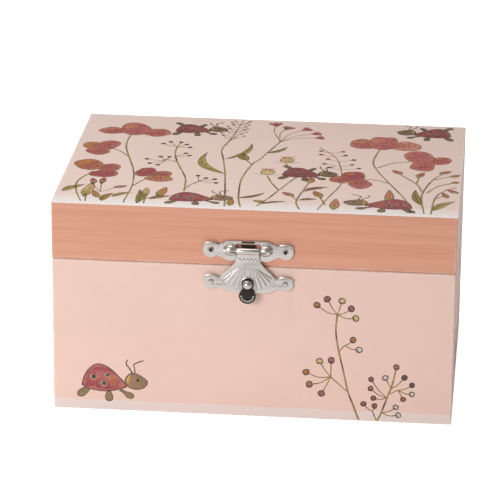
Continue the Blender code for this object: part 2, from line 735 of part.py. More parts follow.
def build_comb():
    """The tuned steel comb: one tooth for each note, over the drum's pins."""
    comb_left, tooth, shoulder = DRUM_LOW + 0.1, 0.7, 0.2
    outline = [(comb_left - shoulder, COMB_LOW), (comb_left - shoulder, COMB_ROOT)]
    for note in range(COMB_NOTES):
        x = comb_left + note * NOTE_PITCH
        outline += [(x, COMB_ROOT), (x, COMB_HIGH), (x + tooth, COMB_HIGH), (x + tooth, COMB_ROOT)]
    right = x + tooth + shoulder
    outline += [(right, COMB_ROOT), (right, COMB_LOW)]
    comb = flat_piece("comb", outline, 1.0, "steel", (0, 35.35, 0))
    cut(
        comb,
        *(
            along_y(f"comb_hole_{i}", x, COMB_SCREW_Z, 30, 43, 1.2, "steel", 12)
            for i, x in enumerate(COMB_SCREW_XS)
        ),
    )


def build_drive():
    """The great wheel, its arbor and the winding key behind the box."""
    wheel = flat_piece(
        "great_wheel", gear_outline(WHEEL_TEETH, WHEEL_RADIUS, 0.42, 0.5, 0.32, 0.72, 0.5), 1.6, "brass",
        (0, WHEEL_Y, AXLE_Z)
    )
    bm = bmesh.new()
    for number in range(CROWN_TEETH):
        bmesh.ops.create_cone(
            bm, cap_ends=True, segments=4, radius1=0.62, radius2=0.32, depth=1.7,
            matrix=Matrix.Rotation(2 * math.pi * (number + 0.5) / CROWN_TEETH, 4, "Z")
            @ Matrix.Translation((CROWN_RADIUS, 0, 0))
            @ Matrix.Diagonal((1.85, 1, 1, 1))
            @ Matrix.Rotation(math.pi / 4, 4, "Z"),
        )
    crown = place(
        "crown_teeth", mesh_from(bm, "crown_teeth"), "brass", (0, WHEEL_Y - 1.35, AXLE_Z), (90, 0, 0),
    )
    join(wheel, crown)
    cut(wheel, along_y("great_wheel_bore", 0, AXLE_Z, 35, 50, 2.3))
    arbor = turned(
        "winding_arbor",
        [(0, 35.0), (1.3, 35.0), (1.3, 32.5), (2.0, 32.5), (2.0, 0.0), (0, 0.0)],
        "steel", (0, 71.0, AXLE_Z), (90, 0, 0), 24,
    )
    bow = [(1.6, -2.6)] + arc((6.6, -8.2), 4.6, 118, -100, 12) + [(2.0, -9.6), (0, -8.8)]
    outline = [(0, -1.0), *bow]
    key = flat_piece("winding_key", mirrored(outline), 1.6, "nickel", (0, 71.0, AXLE_Z), (180, 0, 0))
    hub = along_y("key_hub", 0, AXLE_Z, Y_OUT + 1.6, 74.6, 3.4, "nickel")
    join(key, hub)
    cut(key, along_y("key_bore", 0, AXLE_Z, Y_OUT - 2, 71.4, 2.3, "nickel"))
    return [wheel, arbor, key]


def build_drum():
    """The pinned drum and its shaft, whose pinion meshes with the great wheel's crown teeth."""
    drum = rod(
        "tune_drum", (DRUM_LOW, SPINDLE_Y, AXLE_Z), (DRUM_HIGH, SPINDLE_Y, AXLE_Z), DRUM_RADIUS, "brass",
        40,
    )
    bm = bmesh.new()
    for track in range(COMB_NOTES):
        for beat in range(2):
            angle = math.radians(180 * beat + 47 * track + 23 * (track * beat % 3))
            x = DRUM_LOW + 0.45 + track * NOTE_PITCH
            turn = Matrix.Rotation(angle, 4, "X") @ Matrix.Translation((x, 0, DRUM_RADIUS))
            bmesh.ops.create_cube(bm, size=1.0, matrix=turn @ Matrix.Diagonal((0.36, 0.36, 0.9, 1)))
    join(drum, place("drum_pins", mesh_from(bm, "drum_pins"), "steel", (0, SPINDLE_Y, AXLE_Z)))
    cut(drum, rod("drum_bore", (5, SPINDLE_Y, AXLE_Z), (45, SPINDLE_Y, AXLE_Z), 1.8, "brass", 16))
    shaft = rod("drum_shaft", (5.6, SPINDLE_Y, AXLE_Z), (38.6, SPINDLE_Y, AXLE_Z), 0.95, "steel", 16)
    collar = rod("drum_collar", (8.5, SPINDLE_Y, AXLE_Z), (35.4, SPINDLE_Y, AXLE_Z), 1.5, "steel", 16)
    pinion = flat_piece(
        "drum_pinion", gear_outline(PINION_TEETH, PINION_RADIUS, 0.55, 0.8, 0.36, 0.9, 5), 2.4, "brass",
        (CROWN_RADIUS, SPINDLE_Y, AXLE_Z), (90, 0, 90),
    )
    join(shaft, collar, pinion)
    return [drum, shaft]


def build_governor():
    """The geared wheel and the worm with its air brake."""
    wheel = along_y("governor_wheel", GOVERNOR_X, AXLE_Z, 35.8, 56.2, 0.85, "steel", 16)
    pinion = flat_piece(
        "governor_pinion", gear_outline(GOVERNOR_TEETH, GOVERNOR_RADIUS, 0.42, 0.5, 0.26, 0.66), 2.2,
        "brass",
        (GOVERNOR_X, WHEEL_Y, AXLE_Z),
    )
    worm_wheel = flat_piece(
        "worm_wheel", gear_outline(WORM_WHEEL_TEETH, WORM_WHEEL_RADIUS, 0.35, 0.7, 0.4, 1.0), 1.0, "brass",
        (GOVERNOR_X, WORM_Y, AXLE_Z),
    )
    join(wheel, pinion, worm_wheel)
    worm = rod("governor_worm", (WORM_X, WORM_Y, 11.8), (WORM_X, WORM_Y, 45.6), 0.75, "steel", 12)
    core = rod("worm_core", (WORM_X, WORM_Y, 18.3), (WORM_X, WORM_Y, 33.4), 1.25, "steel", 16)
    lead = 2 * math.pi * WORM_WHEEL_RADIUS / WORM_WHEEL_TEETH
    steps, turns = 10, 5
    helix = []
    for number in range(-(steps * turns // 2), steps * turns // 2 + 1):
        angle = 2 * math.pi * number / steps
        helix.append((
            WORM_X + WORM_RADIUS * math.cos(angle), WORM_Y + WORM_RADIUS * math.sin(angle),
            AXLE_Z + lead * (0.5 + number / steps),
        ))
    fan = block(
        "governor_fan", (WORM_X - 4.4, WORM_Y - 0.3, 34.5), (WORM_X + 4.4, WORM_Y + 0.3, 38.8),
        "white_plastic",
    )
    join(worm, core, wire("worm_thread", helix, 0.42, "steel", 0), fan)
    return [wheel], [worm]


def build_spindle():
    """The upright spindle driven by the crown teeth, with the dance disc on the stage."""
    spindle = turned(
        "turning_spindle",
        [
            (0, 52.0), (2.2, 52.0), (2.2, 51.7), (4.8, 51.7), (5.0, 50.4),
            (1.5, 50.4), (1.5, 33.2), (0.9, 33.2), (0.9, 30.2), (0, 30.2),
        ],
        "white_plastic", (0, SPINDLE_Y, 0), (0, 0, 0), 24,
    )
    pinion = flat_piece(
        "spindle_pinion", gear_outline(PINION_TEETH, PINION_RADIUS, 0.55, 0.8, 0.36, 0.9, 5), 2.4,
        "white_plastic",
        (0, SPINDLE_Y, AXLE_Z + CROWN_RADIUS), (0, 0, 0),
    )
    return join(spindle, pinion)


def build_stop_rod():
    """The bent wire that the closed lid holds down, with its foot beside the governor's fan."""
    top = 70.7
    points = [
        (WORM_X - 0.6, WORM_Y + 5.7, 36.6), (WORM_X - 4.0, WORM_Y + 6.9, 36.6),
        (STOP_ROD_X + NOTCH_HALF, 48.0, 36.6),
        (STOP_ROD_X, 50.4, 36.6), (STOP_ROD_X, 53.6, 36.8), (STOP_ROD_X, STOP_ROD_Y - 0.5, 37.6),
        (STOP_ROD_X, STOP_ROD_Y, 39.2),
        (STOP_ROD_X, STOP_ROD_Y, top - 1.6), (STOP_ROD_X, STOP_ROD_Y + 0.5, top - 0.4),
        (STOP_ROD_X, STOP_ROD_Y + 1.8, top), (STOP_ROD_X, Y_IN + 3.2, top),
    ]
    return wire("stop_rod", points, 0.7, "steel")


def lean_arc(share):
    """A point of the bent spring's middle line and the direction there, in the plane that she leans in."""
    lean = math.radians(LEAN)
    radius = FOOT / math.tan(lean / 2)
    angle = lean * share
    y = SPINDLE_Y - radius * (1 - math.cos(angle))
    z = PIVOT_Z - FOOT + radius * math.sin(angle)
    return Vector((0, y, z)), Vector((0, -math.sin(angle), math.cos(angle)))


def build_spring_stem():
    """The coil spring that she stands on, bent over under the closed lid."""
    turns, steps, coil = 7, 10, 2.0
    points = []
    for number in range(turns * steps + 1):
        share = 0.05 + 0.9 * number / (turns * steps)
        middle, along = lean_arc(share)
        across = Vector((1, 0, 0))
        angle = 2 * math.pi * number / steps
        points.append(middle + coil * (math.cos(angle) * across + math.sin(angle) * along.cross(across)))
    return wire("ballerina_spring", points, 0.3, "steel", 1)


def build_ballerina(stand):
    """The doll and her skirt, modelled upright above the stand's pivot."""
    body = rod("ballerina_figure", (0, 0, FOOT + 4.0), (0, 0, 24.0), 0.9, "doll", 12, 1.9)
    parts = [
        rod("foot_socket", (0, 0, FOOT + 0.4), (0, 0, FOOT + 2.2), 2.4, "doll", 16),
        rod("toe", (0, 0, FOOT + 1.5), (0, 0, FOOT + 5.5), 0.7, "doll", 10, 1.2),
        rod("raised_thigh", (0, 0, 22.0), (4.6, -1.6, 18.6), 1.8, "doll", 10, 1.3),
        rod("raised_shin", (4.9, -1.7, 18.8), (0.5, -1.0, 13.8), 1.2, "doll", 10, 0.7),
        ball("hips", (0, 0, 25.0), (3.0, 2.4, 3.0), "doll", 12, 8),
        rod("waist", (0, 0, 25.0), (0, 0, 32.4), 1.9, "doll", 14, 2.6),
        ball("chest", (0, 0, 33.0), (3.4, 2.3, 3.0), "doll", 12, 8),
        rod("neck", (0, 0, 34.0), (0, 0, 39.0), 1.0, "doll", 10),
        ball("head", (0, 0, 40.6), (2.7, 2.9, 3.3), "doll", 12, 8),
        ball("bun", (0, 1.4, 44.2), (1.5, 1.5, 1.4), "doll", 8, 6),
    ]
    for side in (-1, 1):
        parts += [
            rod(f"upper_arm_{side}", (side * 2.9, 0, 34.6), (side * 6.4, -0.8, 40.2), 0.95, "doll", 8, 0.75),
            rod(
                f"fore_arm_{side}", (side * 6.4, -0.8, 39.8), (side * 3.6, -1.6, 46.6), 0.8, "doll", 8,
                0.55,
            ),
            ball(f"elbow_{side}", (side * 6.4, -0.8, 40.0), (0.95, 0.95, 0.95), "doll", 8, 6),
            ball(f"hand_{side}", (side * 2.9, -1.7, 47.6), (1.2, 0.6, 1.3), "doll", 8, 6),
        ]
    join(body, *parts)
    skirt = turned(
        "ballerina_tutu",
        [(3.9, 27.4), (8.0, 26.8), (TUTU_RADIUS, 25.4), (TUTU_RADIUS, 24.7), (8.0, 24.4), (3.9, 24.6)],
        "tulle", (0, 0, 0), (0, 0, 0), 28, ring=True,
    )
    for piece in (body, skirt, *parts):
        piece.parent = stand
    return body, skirt


def build():
    """Builds every piece and hangs the moving ones on their joints."""
    build_case()
    build_trays()
    build_strike()
    lid = pivot("lid_hinge", (0, HINGE_Y, HINGE_Z))
    hang(lid, *build_lid(), *build_catch_plate(), *build_hinges())
    hasp = pivot("hasp_swing", (CATCH_X, PIN_Y, PIN_Z))
    hang(hasp, build_hasp())
    hang(lid, hasp)
    build_movement_frame()
    build_spring_and_comb()
    hang(pivot("drive_spin", (0, WHEEL_Y, AXLE_Z)), *build_drive())
    hang(pivot("drum_spin", (CROWN_RADIUS, SPINDLE_Y, AXLE_Z)), *build_drum())
    geared, braked = build_governor()
    hang(pivot("governor_wheel_spin", (GOVERNOR_X, WORM_Y, AXLE_Z)), *geared)
    hang(pivot("governor_worm_spin", (WORM_X, WORM_Y, AXLE_Z)), *braked)
    hang(pivot("spindle_spin", (0, SPINDLE_Y, STAGE_TOP)), build_spindle())
    hang(pivot("stop_rod_slide", (STOP_ROD_X, STOP_ROD_Y, 54.0)), build_stop_rod())
    stand = pivot("ballerina_rise", (0, SPINDLE_Y, PIVOT_Z), LEAN)
    hang(stand, build_spring_stem())
    build_ballerina(stand)


clear_scene()
BOX = new_collection("ballerina_jewellery_box")
HELPERS = new_collection("cutters")
HELPERS.hide_render = True
build()
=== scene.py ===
"""Looks for the ballerina jewellery box: paper wraps with their print, pressed nickel fittings, flocked trays,
the mirror, the ballerina and the studio.

Sizes are in metres. The doll, the catch and the print are drawn in millimetres and scaled by MM.
"""

import json
import math
from contextlib import contextmanager

import bmesh
import bpy
from bpy.props import FloatProperty, FloatVectorProperty, PointerProperty
from mathutils import Matrix, Vector, noise


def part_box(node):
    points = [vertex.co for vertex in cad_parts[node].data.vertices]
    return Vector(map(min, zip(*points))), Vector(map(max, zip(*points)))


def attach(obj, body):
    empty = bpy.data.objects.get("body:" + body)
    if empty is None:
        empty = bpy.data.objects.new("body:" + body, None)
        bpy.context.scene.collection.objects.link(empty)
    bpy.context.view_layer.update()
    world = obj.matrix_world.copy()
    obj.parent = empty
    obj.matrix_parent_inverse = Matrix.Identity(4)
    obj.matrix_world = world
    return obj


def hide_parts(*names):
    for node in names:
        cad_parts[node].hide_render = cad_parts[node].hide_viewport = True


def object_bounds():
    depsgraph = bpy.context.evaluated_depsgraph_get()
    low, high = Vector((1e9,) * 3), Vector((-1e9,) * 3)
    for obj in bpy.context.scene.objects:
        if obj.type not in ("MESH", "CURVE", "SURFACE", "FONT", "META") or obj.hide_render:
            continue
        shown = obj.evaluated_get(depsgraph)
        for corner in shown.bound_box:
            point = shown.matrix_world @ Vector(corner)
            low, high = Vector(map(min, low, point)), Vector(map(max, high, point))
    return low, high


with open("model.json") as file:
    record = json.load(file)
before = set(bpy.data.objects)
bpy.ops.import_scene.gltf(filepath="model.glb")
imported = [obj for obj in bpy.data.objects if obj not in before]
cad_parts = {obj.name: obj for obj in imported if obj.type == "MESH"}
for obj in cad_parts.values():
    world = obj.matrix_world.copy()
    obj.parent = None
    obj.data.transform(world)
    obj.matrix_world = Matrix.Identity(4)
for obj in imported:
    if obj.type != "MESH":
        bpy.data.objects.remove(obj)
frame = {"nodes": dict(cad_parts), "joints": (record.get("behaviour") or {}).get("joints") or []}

CAD_LOW, CAD_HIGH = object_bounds()

bl_info = {
    "name": "Ballerina Jewellery Box",
    "version": (1, 0, 0),
    "blender": (4, 5, 0),
    "location": "3D View > Sidebar > Jewellery Box",
    "description": "Dresses the box with printed paper, nickel fittings, flocked trays and its ballerina",
    "category": "Object",
}

MM = 0.001
SMALLEST_INK = 0.002  # square millimetres
INK_BASE, INK_STEP = 0.01, 0.0015  # millimetres off the face, and between shapes
RUBBED_BOARD = (0.93, 0.87, 0.83, 1)
FOOT_STRIP = 0.0056
UP, FRONT, RIGHT = Vector((0, 0, 1)), Vector((0, -1, 0)), Vector((1, 0, 0))


def corner_pair(*names):
    """The lowest and highest corner of several CAD nodes together."""
    lows, highs = zip(*(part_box(name) for name in names))
    low = Vector(min(corner[axis] for corner in lows) for axis in range(3))
    high = Vector(max(corner[axis] for corner in highs) for axis in range(3))
    return low, high


CASE_LOW, CASE_HIGH = corner_pair("front_panel", "back_panel")
LID_LOW, LID_HIGH = corner_pair("lid_top", "lid_front_rail")
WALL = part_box("front_panel")[1].y - CASE_LOW.y
PLATE_LOW, PLATE_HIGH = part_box("catch_plate")
STRIKE_LOW, STRIKE_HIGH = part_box("strike_plate")
CATCH_X = (STRIKE_LOW.x + STRIKE_HIGH.x) / 2
PIN_LOW, PIN_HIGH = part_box("catch_pin")
PIN_CENTRE = (PIN_LOW + PIN_HIGH) / 2
JOINTS = {joint["name"]: joint for joint in frame["joints"]}
RISE = JOINTS["ballerina_rise"]
LEAN = math.radians(RISE["range_deg"][1])
DOLL_PIVOT = Vector(RISE["pos_m"])
LEANING = Matrix.Translation(DOLL_PIVOT) @ Matrix.Rotation(LEAN, 4, "X")


# Colours and sizes that a user would change

def colour_setting(name, description, red, green, blue):
    """A colour, given as the 0 to 255 values of a paint chart."""
    linear = [to_linear(channel) for channel in (red, green, blue)]
    return FloatVectorProperty(
        name=name, description=description, subtype="COLOR", size=3, min=0.0, max=1.0, default=linear
    )


def to_linear(channel):
    share = channel / 255
    return share / 12.92 if share <= 0.04045 else ((share + 0.055) / 1.055) ** 2.4


def length_setting(name, description, default):
    return FloatProperty(
        name=name, description=description, default=default, min=0.0, unit="LENGTH", precision=5,
    )


class PaperSettings(bpy.types.PropertyGroup):
    case_pink: colour_setting("Case pink", "Ground of the case's paper", 245, 211, 198)
    ground_strip: colour_setting("Ground strip", "Paler strip along the foot of the case", 240, 222, 217)
    terracotta: colour_setting("Terracotta", "Front band of the lid", 229, 168, 141)
    lid_ground: colour_setting("Lid ground", "Ground of the print on the lid's top", 238, 214, 204)
    lid_border: colour_setting("Lid border", "Paler border at the front of the lid's top", 243, 232, 227)
    corner: length_setting("Corner radius", "Rounding of the covered board's edges", 0.0008)


class InkSettings(bpy.types.PropertyGroup):
    outline: colour_setting("Outline", "Dark drawing line", 78, 66, 58)
    bark: colour_setting("Bark", "Stems and stalks", 104, 82, 64)
    olive: colour_setting("Olive", "Stems and veins", 172, 150, 70)
    leaf: colour_setting("Leaf", "Leaves", 186, 166, 92)
    dark_leaf: colour_setting("Dark leaf", "Shaded leaves", 150, 132, 66)
    petal: colour_setting("Petal", "Flower petals", 199, 126, 112)
    speck: colour_setting("Speck", "Dark specks on petals and shells", 136, 70, 62)
    petal_pale: colour_setting("Pale petal", "Faded petals", 206, 142, 122)
    rose: colour_setting("Rose", "Pink petals and shells", 172, 86, 96)
    ochre: colour_setting("Ochre", "Yellow-brown washes", 196, 132, 72)
    berry_cream: colour_setting("Cream", "Palest berries", 222, 205, 150)
    shell: colour_setting("Shell", "Beetles' wing cases", 168, 78, 86)
    head: colour_setting("Head", "Beetles' heads and feet", 140, 120, 86)
    line_width: length_setting("Line width", "Usual width of a drawn line", 0.00042)


class MetalSettings(bpy.types.PropertyGroup):
    nickel: colour_setting("Nickel", "Catch, hinges and key", 214, 208, 203)
    brass: colour_setting("Brass", "Movement plates and wheels", 214, 178, 112)
    steel: colour_setting("Steel", "Shafts, comb and springs", 190, 190, 190)
    emboss: length_setting("Emboss depth", "How far the pressed pattern stands up", 0.00022)


class LiningSettings(bpy.types.PropertyGroup):
    flock: colour_setting("Flock", "Flocked lining of trays and lid", 232, 182, 178)
    flock_shade: colour_setting("Flock shade", "Where the nap lies the other way", 210, 150, 150)
    trim: colour_setting("Trim", "Braid round the mirror", 236, 208, 190)


class DollSettings(bpy.types.PropertyGroup):
    skin: colour_setting("Skin", "Painted skin", 244, 204, 178)
    hair: colour_setting("Hair", "Painted hair", 96, 62, 44)
    dress: colour_setting("Dress", "Bodice and slippers", 226, 142, 148)
    net: colour_setting("Net", "Tulle skirt", 248, 208, 208)


class StudioSettings(bpy.types.PropertyGroup):
    azimuth: FloatProperty(
        name="Azimuth", description="Camera round the box", default=math.radians(5.11), subtype="ANGLE",
    )
    elevation: FloatProperty(
        name="Elevation", description="Camera above the floor", default=math.radians(20.31),
        subtype="ANGLE",
    )
    roll: FloatProperty(
        name="Roll", description="Camera turned about its view", default=math.radians(0.545),
        subtype="ANGLE",
    )
    distance: length_setting("Distance", "Camera from the box's middle", 1.4323)
    lens: FloatProperty(name="Lens", description="Focal length in millimetres", default=221.8, min=20.0)
    backdrop: colour_setting("Backdrop", "Floor and background", 252, 252, 252)


SETTINGS = {
    "box_paper": PaperSettings, "box_ink": InkSettings, "box_metal": MetalSettings,
    "box_lining": LiningSettings, "box_doll": DollSettings, "box_studio": StudioSettings,
}


# Modelling helpers

def deselect_all():
    if bpy.context.object and bpy.context.object.mode != "OBJECT":
        bpy.ops.object.mode_set(mode="OBJECT")
    bpy.ops.object.select_all(action="DESELECT")


def activate(piece):
    deselect_all()
    piece.select_set(True)
    bpy.context.view_layer.objects.active = piece


@contextmanager
def editing(piece, kind="FACE"):
    """Edit mode on one piece, with nothing selected."""
    activate(piece)
    bpy.ops.object.mode_set(mode="EDIT")
    bpy.ops.mesh.select_mode(type=kind)
    bpy.ops.mesh.select_all(action="DESELECT")
    yield bmesh.from_edit_mesh(piece.data)
    bpy.ops.object.mode_set(mode="OBJECT")


def choose(bm, parts, test):
    """Selects the faces, edges or vertices that pass a test."""
    for part in parts:
        if test(part):
            part.select_set(True)
    bm.select_flush_mode()


def apply_place(piece):
    activate(piece)
    bpy.ops.object.transform_apply(location=True, rotation=True, scale=True)
    return piece


def modify(piece, kind, **settings):
    """Adds one modifier, sets it and applies it."""
    activate(piece)
    step = piece.modifiers.new(kind.lower(), kind)
    for key, value in settings.items():
        setattr(step, key, value)
    bpy.ops.object.modifier_apply(modifier=step.name)
    return piece


def soften(piece, width, segments=3, angle=30.0):
    return modify(
        piece, "BEVEL", width=width, segments=segments, limit_method="ANGLE",
        angle_limit=math.radians(angle),
    )


def add_block(name, low, high):
    low, high = Vector(low), Vector(high)
    deselect_all()
    bpy.ops.mesh.primitive_cube_add(size=1.0, location=(low + high) / 2)
    piece = bpy.context.object
    piece.name = name
    piece.scale = high - low
    return apply_place(piece)


def add_bar(name, start, end, radius, sides=24, end_radius=None):
    """A round bar or cone between two points."""
    start, end = Vector(start), Vector(end)
    deselect_all()
    bpy.ops.mesh.primitive_cone_add(
        vertices=sides, radius1=radius, radius2=radius if end_radius is None else end_radius,
        depth=(end - start).length, location=(start + end) / 2,
        rotation=(end - start).to_track_quat("Z", "Y").to_euler(),
    )
    bpy.context.object.name = name
    return apply_place(bpy.context.object)


def add_ball(name, centre, radii, sides=24, rings=14):
    deselect_all()
    bpy.ops.mesh.primitive_uv_sphere_add(segments=sides, ring_count=rings, radius=1.0, location=centre)
    piece = bpy.context.object
    piece.name = name
    piece.scale = radii
    return apply_place(piece)


def signed_area(points):
    pairs = zip(points, [*points[1:], points[0]])
    return sum(one[0] * other[1] - other[0] * one[1] for one, other in pairs) / 2


def merge(name, *pieces):
    """Joins pieces into the first one."""
    deselect_all()
    for piece in pieces:
        piece.select_set(True)
    bpy.context.view_layer.objects.active = pieces[0]
    bpy.ops.object.join()
    pieces[0].name = name
    return pieces[0]


def copy_of(piece, name, place=None):
    made = piece.copy()
    made.data = piece.data.copy()
    made.name = name
    bpy.context.scene.collection.objects.link(made)
    if place is not None:
        made.data.transform(place)
        if place.determinant() < 0:
            made.data.flip_normals()
    return made


def subtract(piece, *cutters):
    for cutter in cutters:
        modify(piece, "BOOLEAN", operation="DIFFERENCE", object=cutter, solver="EXACT")
        bpy.data.objects.remove(cutter)
    return piece


def grid_piece(name, rows, columns, point, closed=False):
    """A surface from a grid primitive whose corners are moved to point(down, across), both from 0 to 1."""
    deselect_all()
    bpy.ops.mesh.primitive_grid_add(x_subdivisions=columns, y_subdivisions=rows, size=1.0)
    piece = bpy.context.object
    piece.name = name
    for corner in piece.data.vertices:
        corner.co = point(corner.co.y + 0.5, corner.co.x + 0.5)
    piece.data.update()
    if closed:
        modify(piece, "WELD", merge_threshold=0.00001)
    return piece


def sweep(name, points, radius, sides=8, ends=True):
    """A round wire along points."""
    curve = bpy.data.curves.new(name, "CURVE")
    curve.dimensions = "3D"
    curve.bevel_depth = radius
    curve.bevel_resolution = max(0, sides // 2 - 2)
    curve.use_fill_caps = ends
    line = curve.splines.new("POLY")
    line.points.add(len(points) - 1)
    for corner, place in zip(line.points, points):
        corner.co = (*place, 1)
    line.use_cyclic_u = not ends
    piece = bpy.data.objects.new(name, curve)
    bpy.context.scene.collection.objects.link(piece)
    activate(piece)
    bpy.ops.object.convert(target="MESH")
    return modify(piece, "WELD", merge_threshold=0.000005)


def finish(piece, body, material, angle=35.0, stands_for=()):
    """Shades a piece, gives it its material and lets it ride on a body."""
    activate(piece)
    if angle:
        bpy.ops.object.shade_smooth_by_angle(angle=math.radians(angle))
    if material:
        piece.data.materials.clear()
        piece.data.materials.append(material)
    if stands_for:
        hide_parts(*stands_for)
    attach(piece, body)
    return piece


def repaint(node, material):
    """Gives a CAD node a better material."""
    for place in frame["nodes"][node].material_slots:
        place.material = material


def smooth_path(points, steps=6):
    """A Catmull-Rom curve through given points, in any number of dimensions."""
    points = [Vector(point) for point in points]
    padded = [2 * points[0] - points[1], *points, 2 * points[-1] - points[-2]]
    path = []
    for before, start, end, after in zip(padded, padded[1:], padded[2:], padded[3:]):
        for step in range(steps):
            t = step / steps
            path.append(0.5 * (
                2 * start + (end - before) * t + (2 * before - 5 * start + 4 * end - after) * t * t
                + (3 * start - before - 3 * end + after) * t ** 3
            ))
    return [*path, points[-1]]


# Materials

class Tree:
    """Adds nodes to a tree and links them."""

    def __init__(self, tree):
        self.tree = tree

    def add(self, kind, links=None, **settings):
        """A node of that kind. settings are its properties, and links fill its inputs by name or number."""
        node = self.tree.nodes.new(kind)
        for key, value in settings.items():
            setattr(node, key, value)
        for key, value in (links or {}).items():
            self.feed(node.inputs[key], value)
        return node

    def feed(self, socket, value):
        if isinstance(value, bpy.types.NodeSocket):
            self.tree.links.new(value, socket)
        else:
            socket.default_value = value

    def ramp(self, value, *stops):
        node = self.add("ShaderNodeValToRGB", {"Fac": value})
        ramp = node.color_ramp
        for element, (place, tone) in zip((ramp.elements[0], ramp.elements[1]), stops):
            element.position = place
            element.color = (tone, tone, tone, 1)
        return node.outputs["Color"]

    def noise(self, where, scale, detail=3.0, roughness=0.5):
        links = {"Vector": where, "Scale": scale, "Detail": detail, "Roughness": roughness}
        return self.add("ShaderNodeTexNoise", links).outputs["Fac"]

    def math(self, operation, one, other=0.0, clamp=False):
        return self.add("ShaderNodeMath", {0: one, 1: other}, operation=operation, use_clamp=clamp).outputs[0]

    def mix(self, share, one, other, blend="MIX"):
        node = self.add(
            "ShaderNodeMix", {"Factor": share, "A": one, "B": other}, data_type="RGBA", blend_type=blend,
        )
        return node.outputs["Result"]

    def spread(self, value, low, high):
        """A value from 0 to 1 moved to run from low to high."""
        node = self.add("ShaderNodeMapRange", {"Value": value, "To Min": low, "To Max": high})
        return node.outputs["Result"]

    def bump(self, height, depth, strength=1.0):
        links = {"Height": height, "Distance": depth, "Strength": strength}
        return self.add("ShaderNodeBump", links).outputs["Normal"]


def effect_group(name, inputs, outputs, build):
    """A node group made once: build(tree, group input, group output) lays its nodes."""
    found = bpy.data.node_groups.get(name)
    if found:
        return found
    group = bpy.data.node_groups.new(name, "ShaderNodeTree")
    for label, kind, default in inputs:
        socket = group.interface.new_socket(label, in_out="INPUT", socket_type=kind)
        if default is not None:
            socket.default_value = default
    for label, kind in outputs:
        group.interface.new_socket(label, in_out="OUTPUT", socket_type=kind)
    tree = Tree(group)
    build(tree, tree.add("NodeGroupInput").outputs, tree.add("NodeGroupOutput").inputs)
    return group


FLOAT, COLOUR, VECTOR = "NodeSocketFloat", "NodeSocketColor", "NodeSocketVector"


def object_place(tree):
    return tree.add("ShaderNodeTexCoord").outputs["Object"]


def lay_mottle(tree, given, out):
    """Soft patches of a second colour, as in a wash of paint or uneven ink."""
    wide = tree.noise(given["Place"], given["Scale"], 4.0, 0.6)
    fine = tree.noise(given["Place"], tree.math("MULTIPLY", given["Scale"], 9.0), 2.0, 0.6)
    both = tree.math("ADD", tree.math("MULTIPLY", wide, 0.75), tree.math("MULTIPLY", fine, 0.25))
    spread = tree.add("ShaderNodeMapRange", {"Value": both, "From Min": 0.36, "From Max": 0.64}, clamp=True)
    share = tree.math("MULTIPLY", spread.outputs["Result"], given["Amount"])
    tree.feed(out["Colour"], tree.mix(share, given["Colour"], given["Second"]))
    tree.feed(out["Mask"], spread.outputs["Result"])


def mottle(tree, place, colour, second, scale, amount):
    group = effect_group(
        "Mottled wash",
        [
            ("Place", VECTOR, None), ("Colour", COLOUR, None), ("Second", COLOUR, None), ("Scale", FLOAT, 100.0),
            ("Amount", FLOAT, 0.5),
        ],
        [("Colour", COLOUR), ("Mask", FLOAT)], lay_mottle,
    )
    node = tree.add("ShaderNodeGroup", node_tree=group)
    for key, value in (
        ("Place", place), ("Colour", colour), ("Second", second), ("Scale", scale), ("Amount", amount),
    ):
        tree.feed(node.inputs[key], value)
    return node.outputs["Colour"], node.outputs["Mask"]


def lay_fibre(tree, given, out):
    """The faint tooth of paper: fine noise with short fibres across it."""
    tooth = tree.noise(given["Place"], 2600.0, 3.0, 0.6)
    stretched = tree.add("ShaderNodeMapping", {"Vector": given["Place"], "Scale": (500.0, 2600.0, 500.0)})
    fibre = tree.noise(stretched.outputs["Vector"], 1.0, 2.0, 0.5)
    tree.feed(out["Height"], tree.math("ADD", tooth, tree.math("MULTIPLY", fibre, 0.6)))


def paper_tooth(tree, place):
    group = effect_group("Paper tooth", [("Place", VECTOR, None)], [("Height", FLOAT)], lay_fibre)
    return tree.add("ShaderNodeGroup", {"Place": place}, node_tree=group).outputs["Height"]


def lay_rub(tree, given, out):
    """Where hands rub: along the edges of a box with that middle and half size, broken up by noise."""
    inner = tree.add(
        "ShaderNodeVectorMath", {0: given["Place"], 1: given["Middle"]}, operation="SUBTRACT"
    ).outputs[0]
    inner = tree.add("ShaderNodeVectorMath", {0: inner}, operation="ABSOLUTE").outputs[0]
    inner = tree.add("ShaderNodeVectorMath", {0: given["Half"], 1: inner}, operation="SUBTRACT").outputs[0]
    gaps = tree.add("ShaderNodeSeparateXYZ", {"Vector": inner})
    near = [
        tree.add("ShaderNodeMapRange", {
            "Value": gaps.outputs[axis], "From Min": 0.0, "From Max": 0.0016, "To Min": 1.0, "To Max": 0.0,
        }).outputs[0]
        for axis in range(3)
    ]
    pairs = [
        tree.math("MULTIPLY", near[0], near[1]), tree.math("MULTIPLY", near[1], near[2]),
        tree.math("MULTIPLY", near[0], near[2]),
    ]
    edge = tree.math("MAXIMUM", pairs[0], tree.math("MAXIMUM", pairs[1], pairs[2]))
    patchy = tree.ramp(tree.noise(given["Place"], 260.0, 4.0, 0.7), (0.4, 0.0), (0.62, 1.0))
    tree.feed(out["Mask"], tree.math("MULTIPLY", edge, patchy))


def edge_rub(tree, place, low, high):
    inputs = [("Place", VECTOR, None), ("Middle", VECTOR, None), ("Half", VECTOR, None)]
    group = effect_group("Edge rub", inputs, [("Mask", FLOAT)], lay_rub)
    links = {"Place": place, "Middle": (low + high) / 2, "Half": (high - low) / 2}
    return tree.add("ShaderNodeGroup", links, node_tree=group).outputs["Mask"]


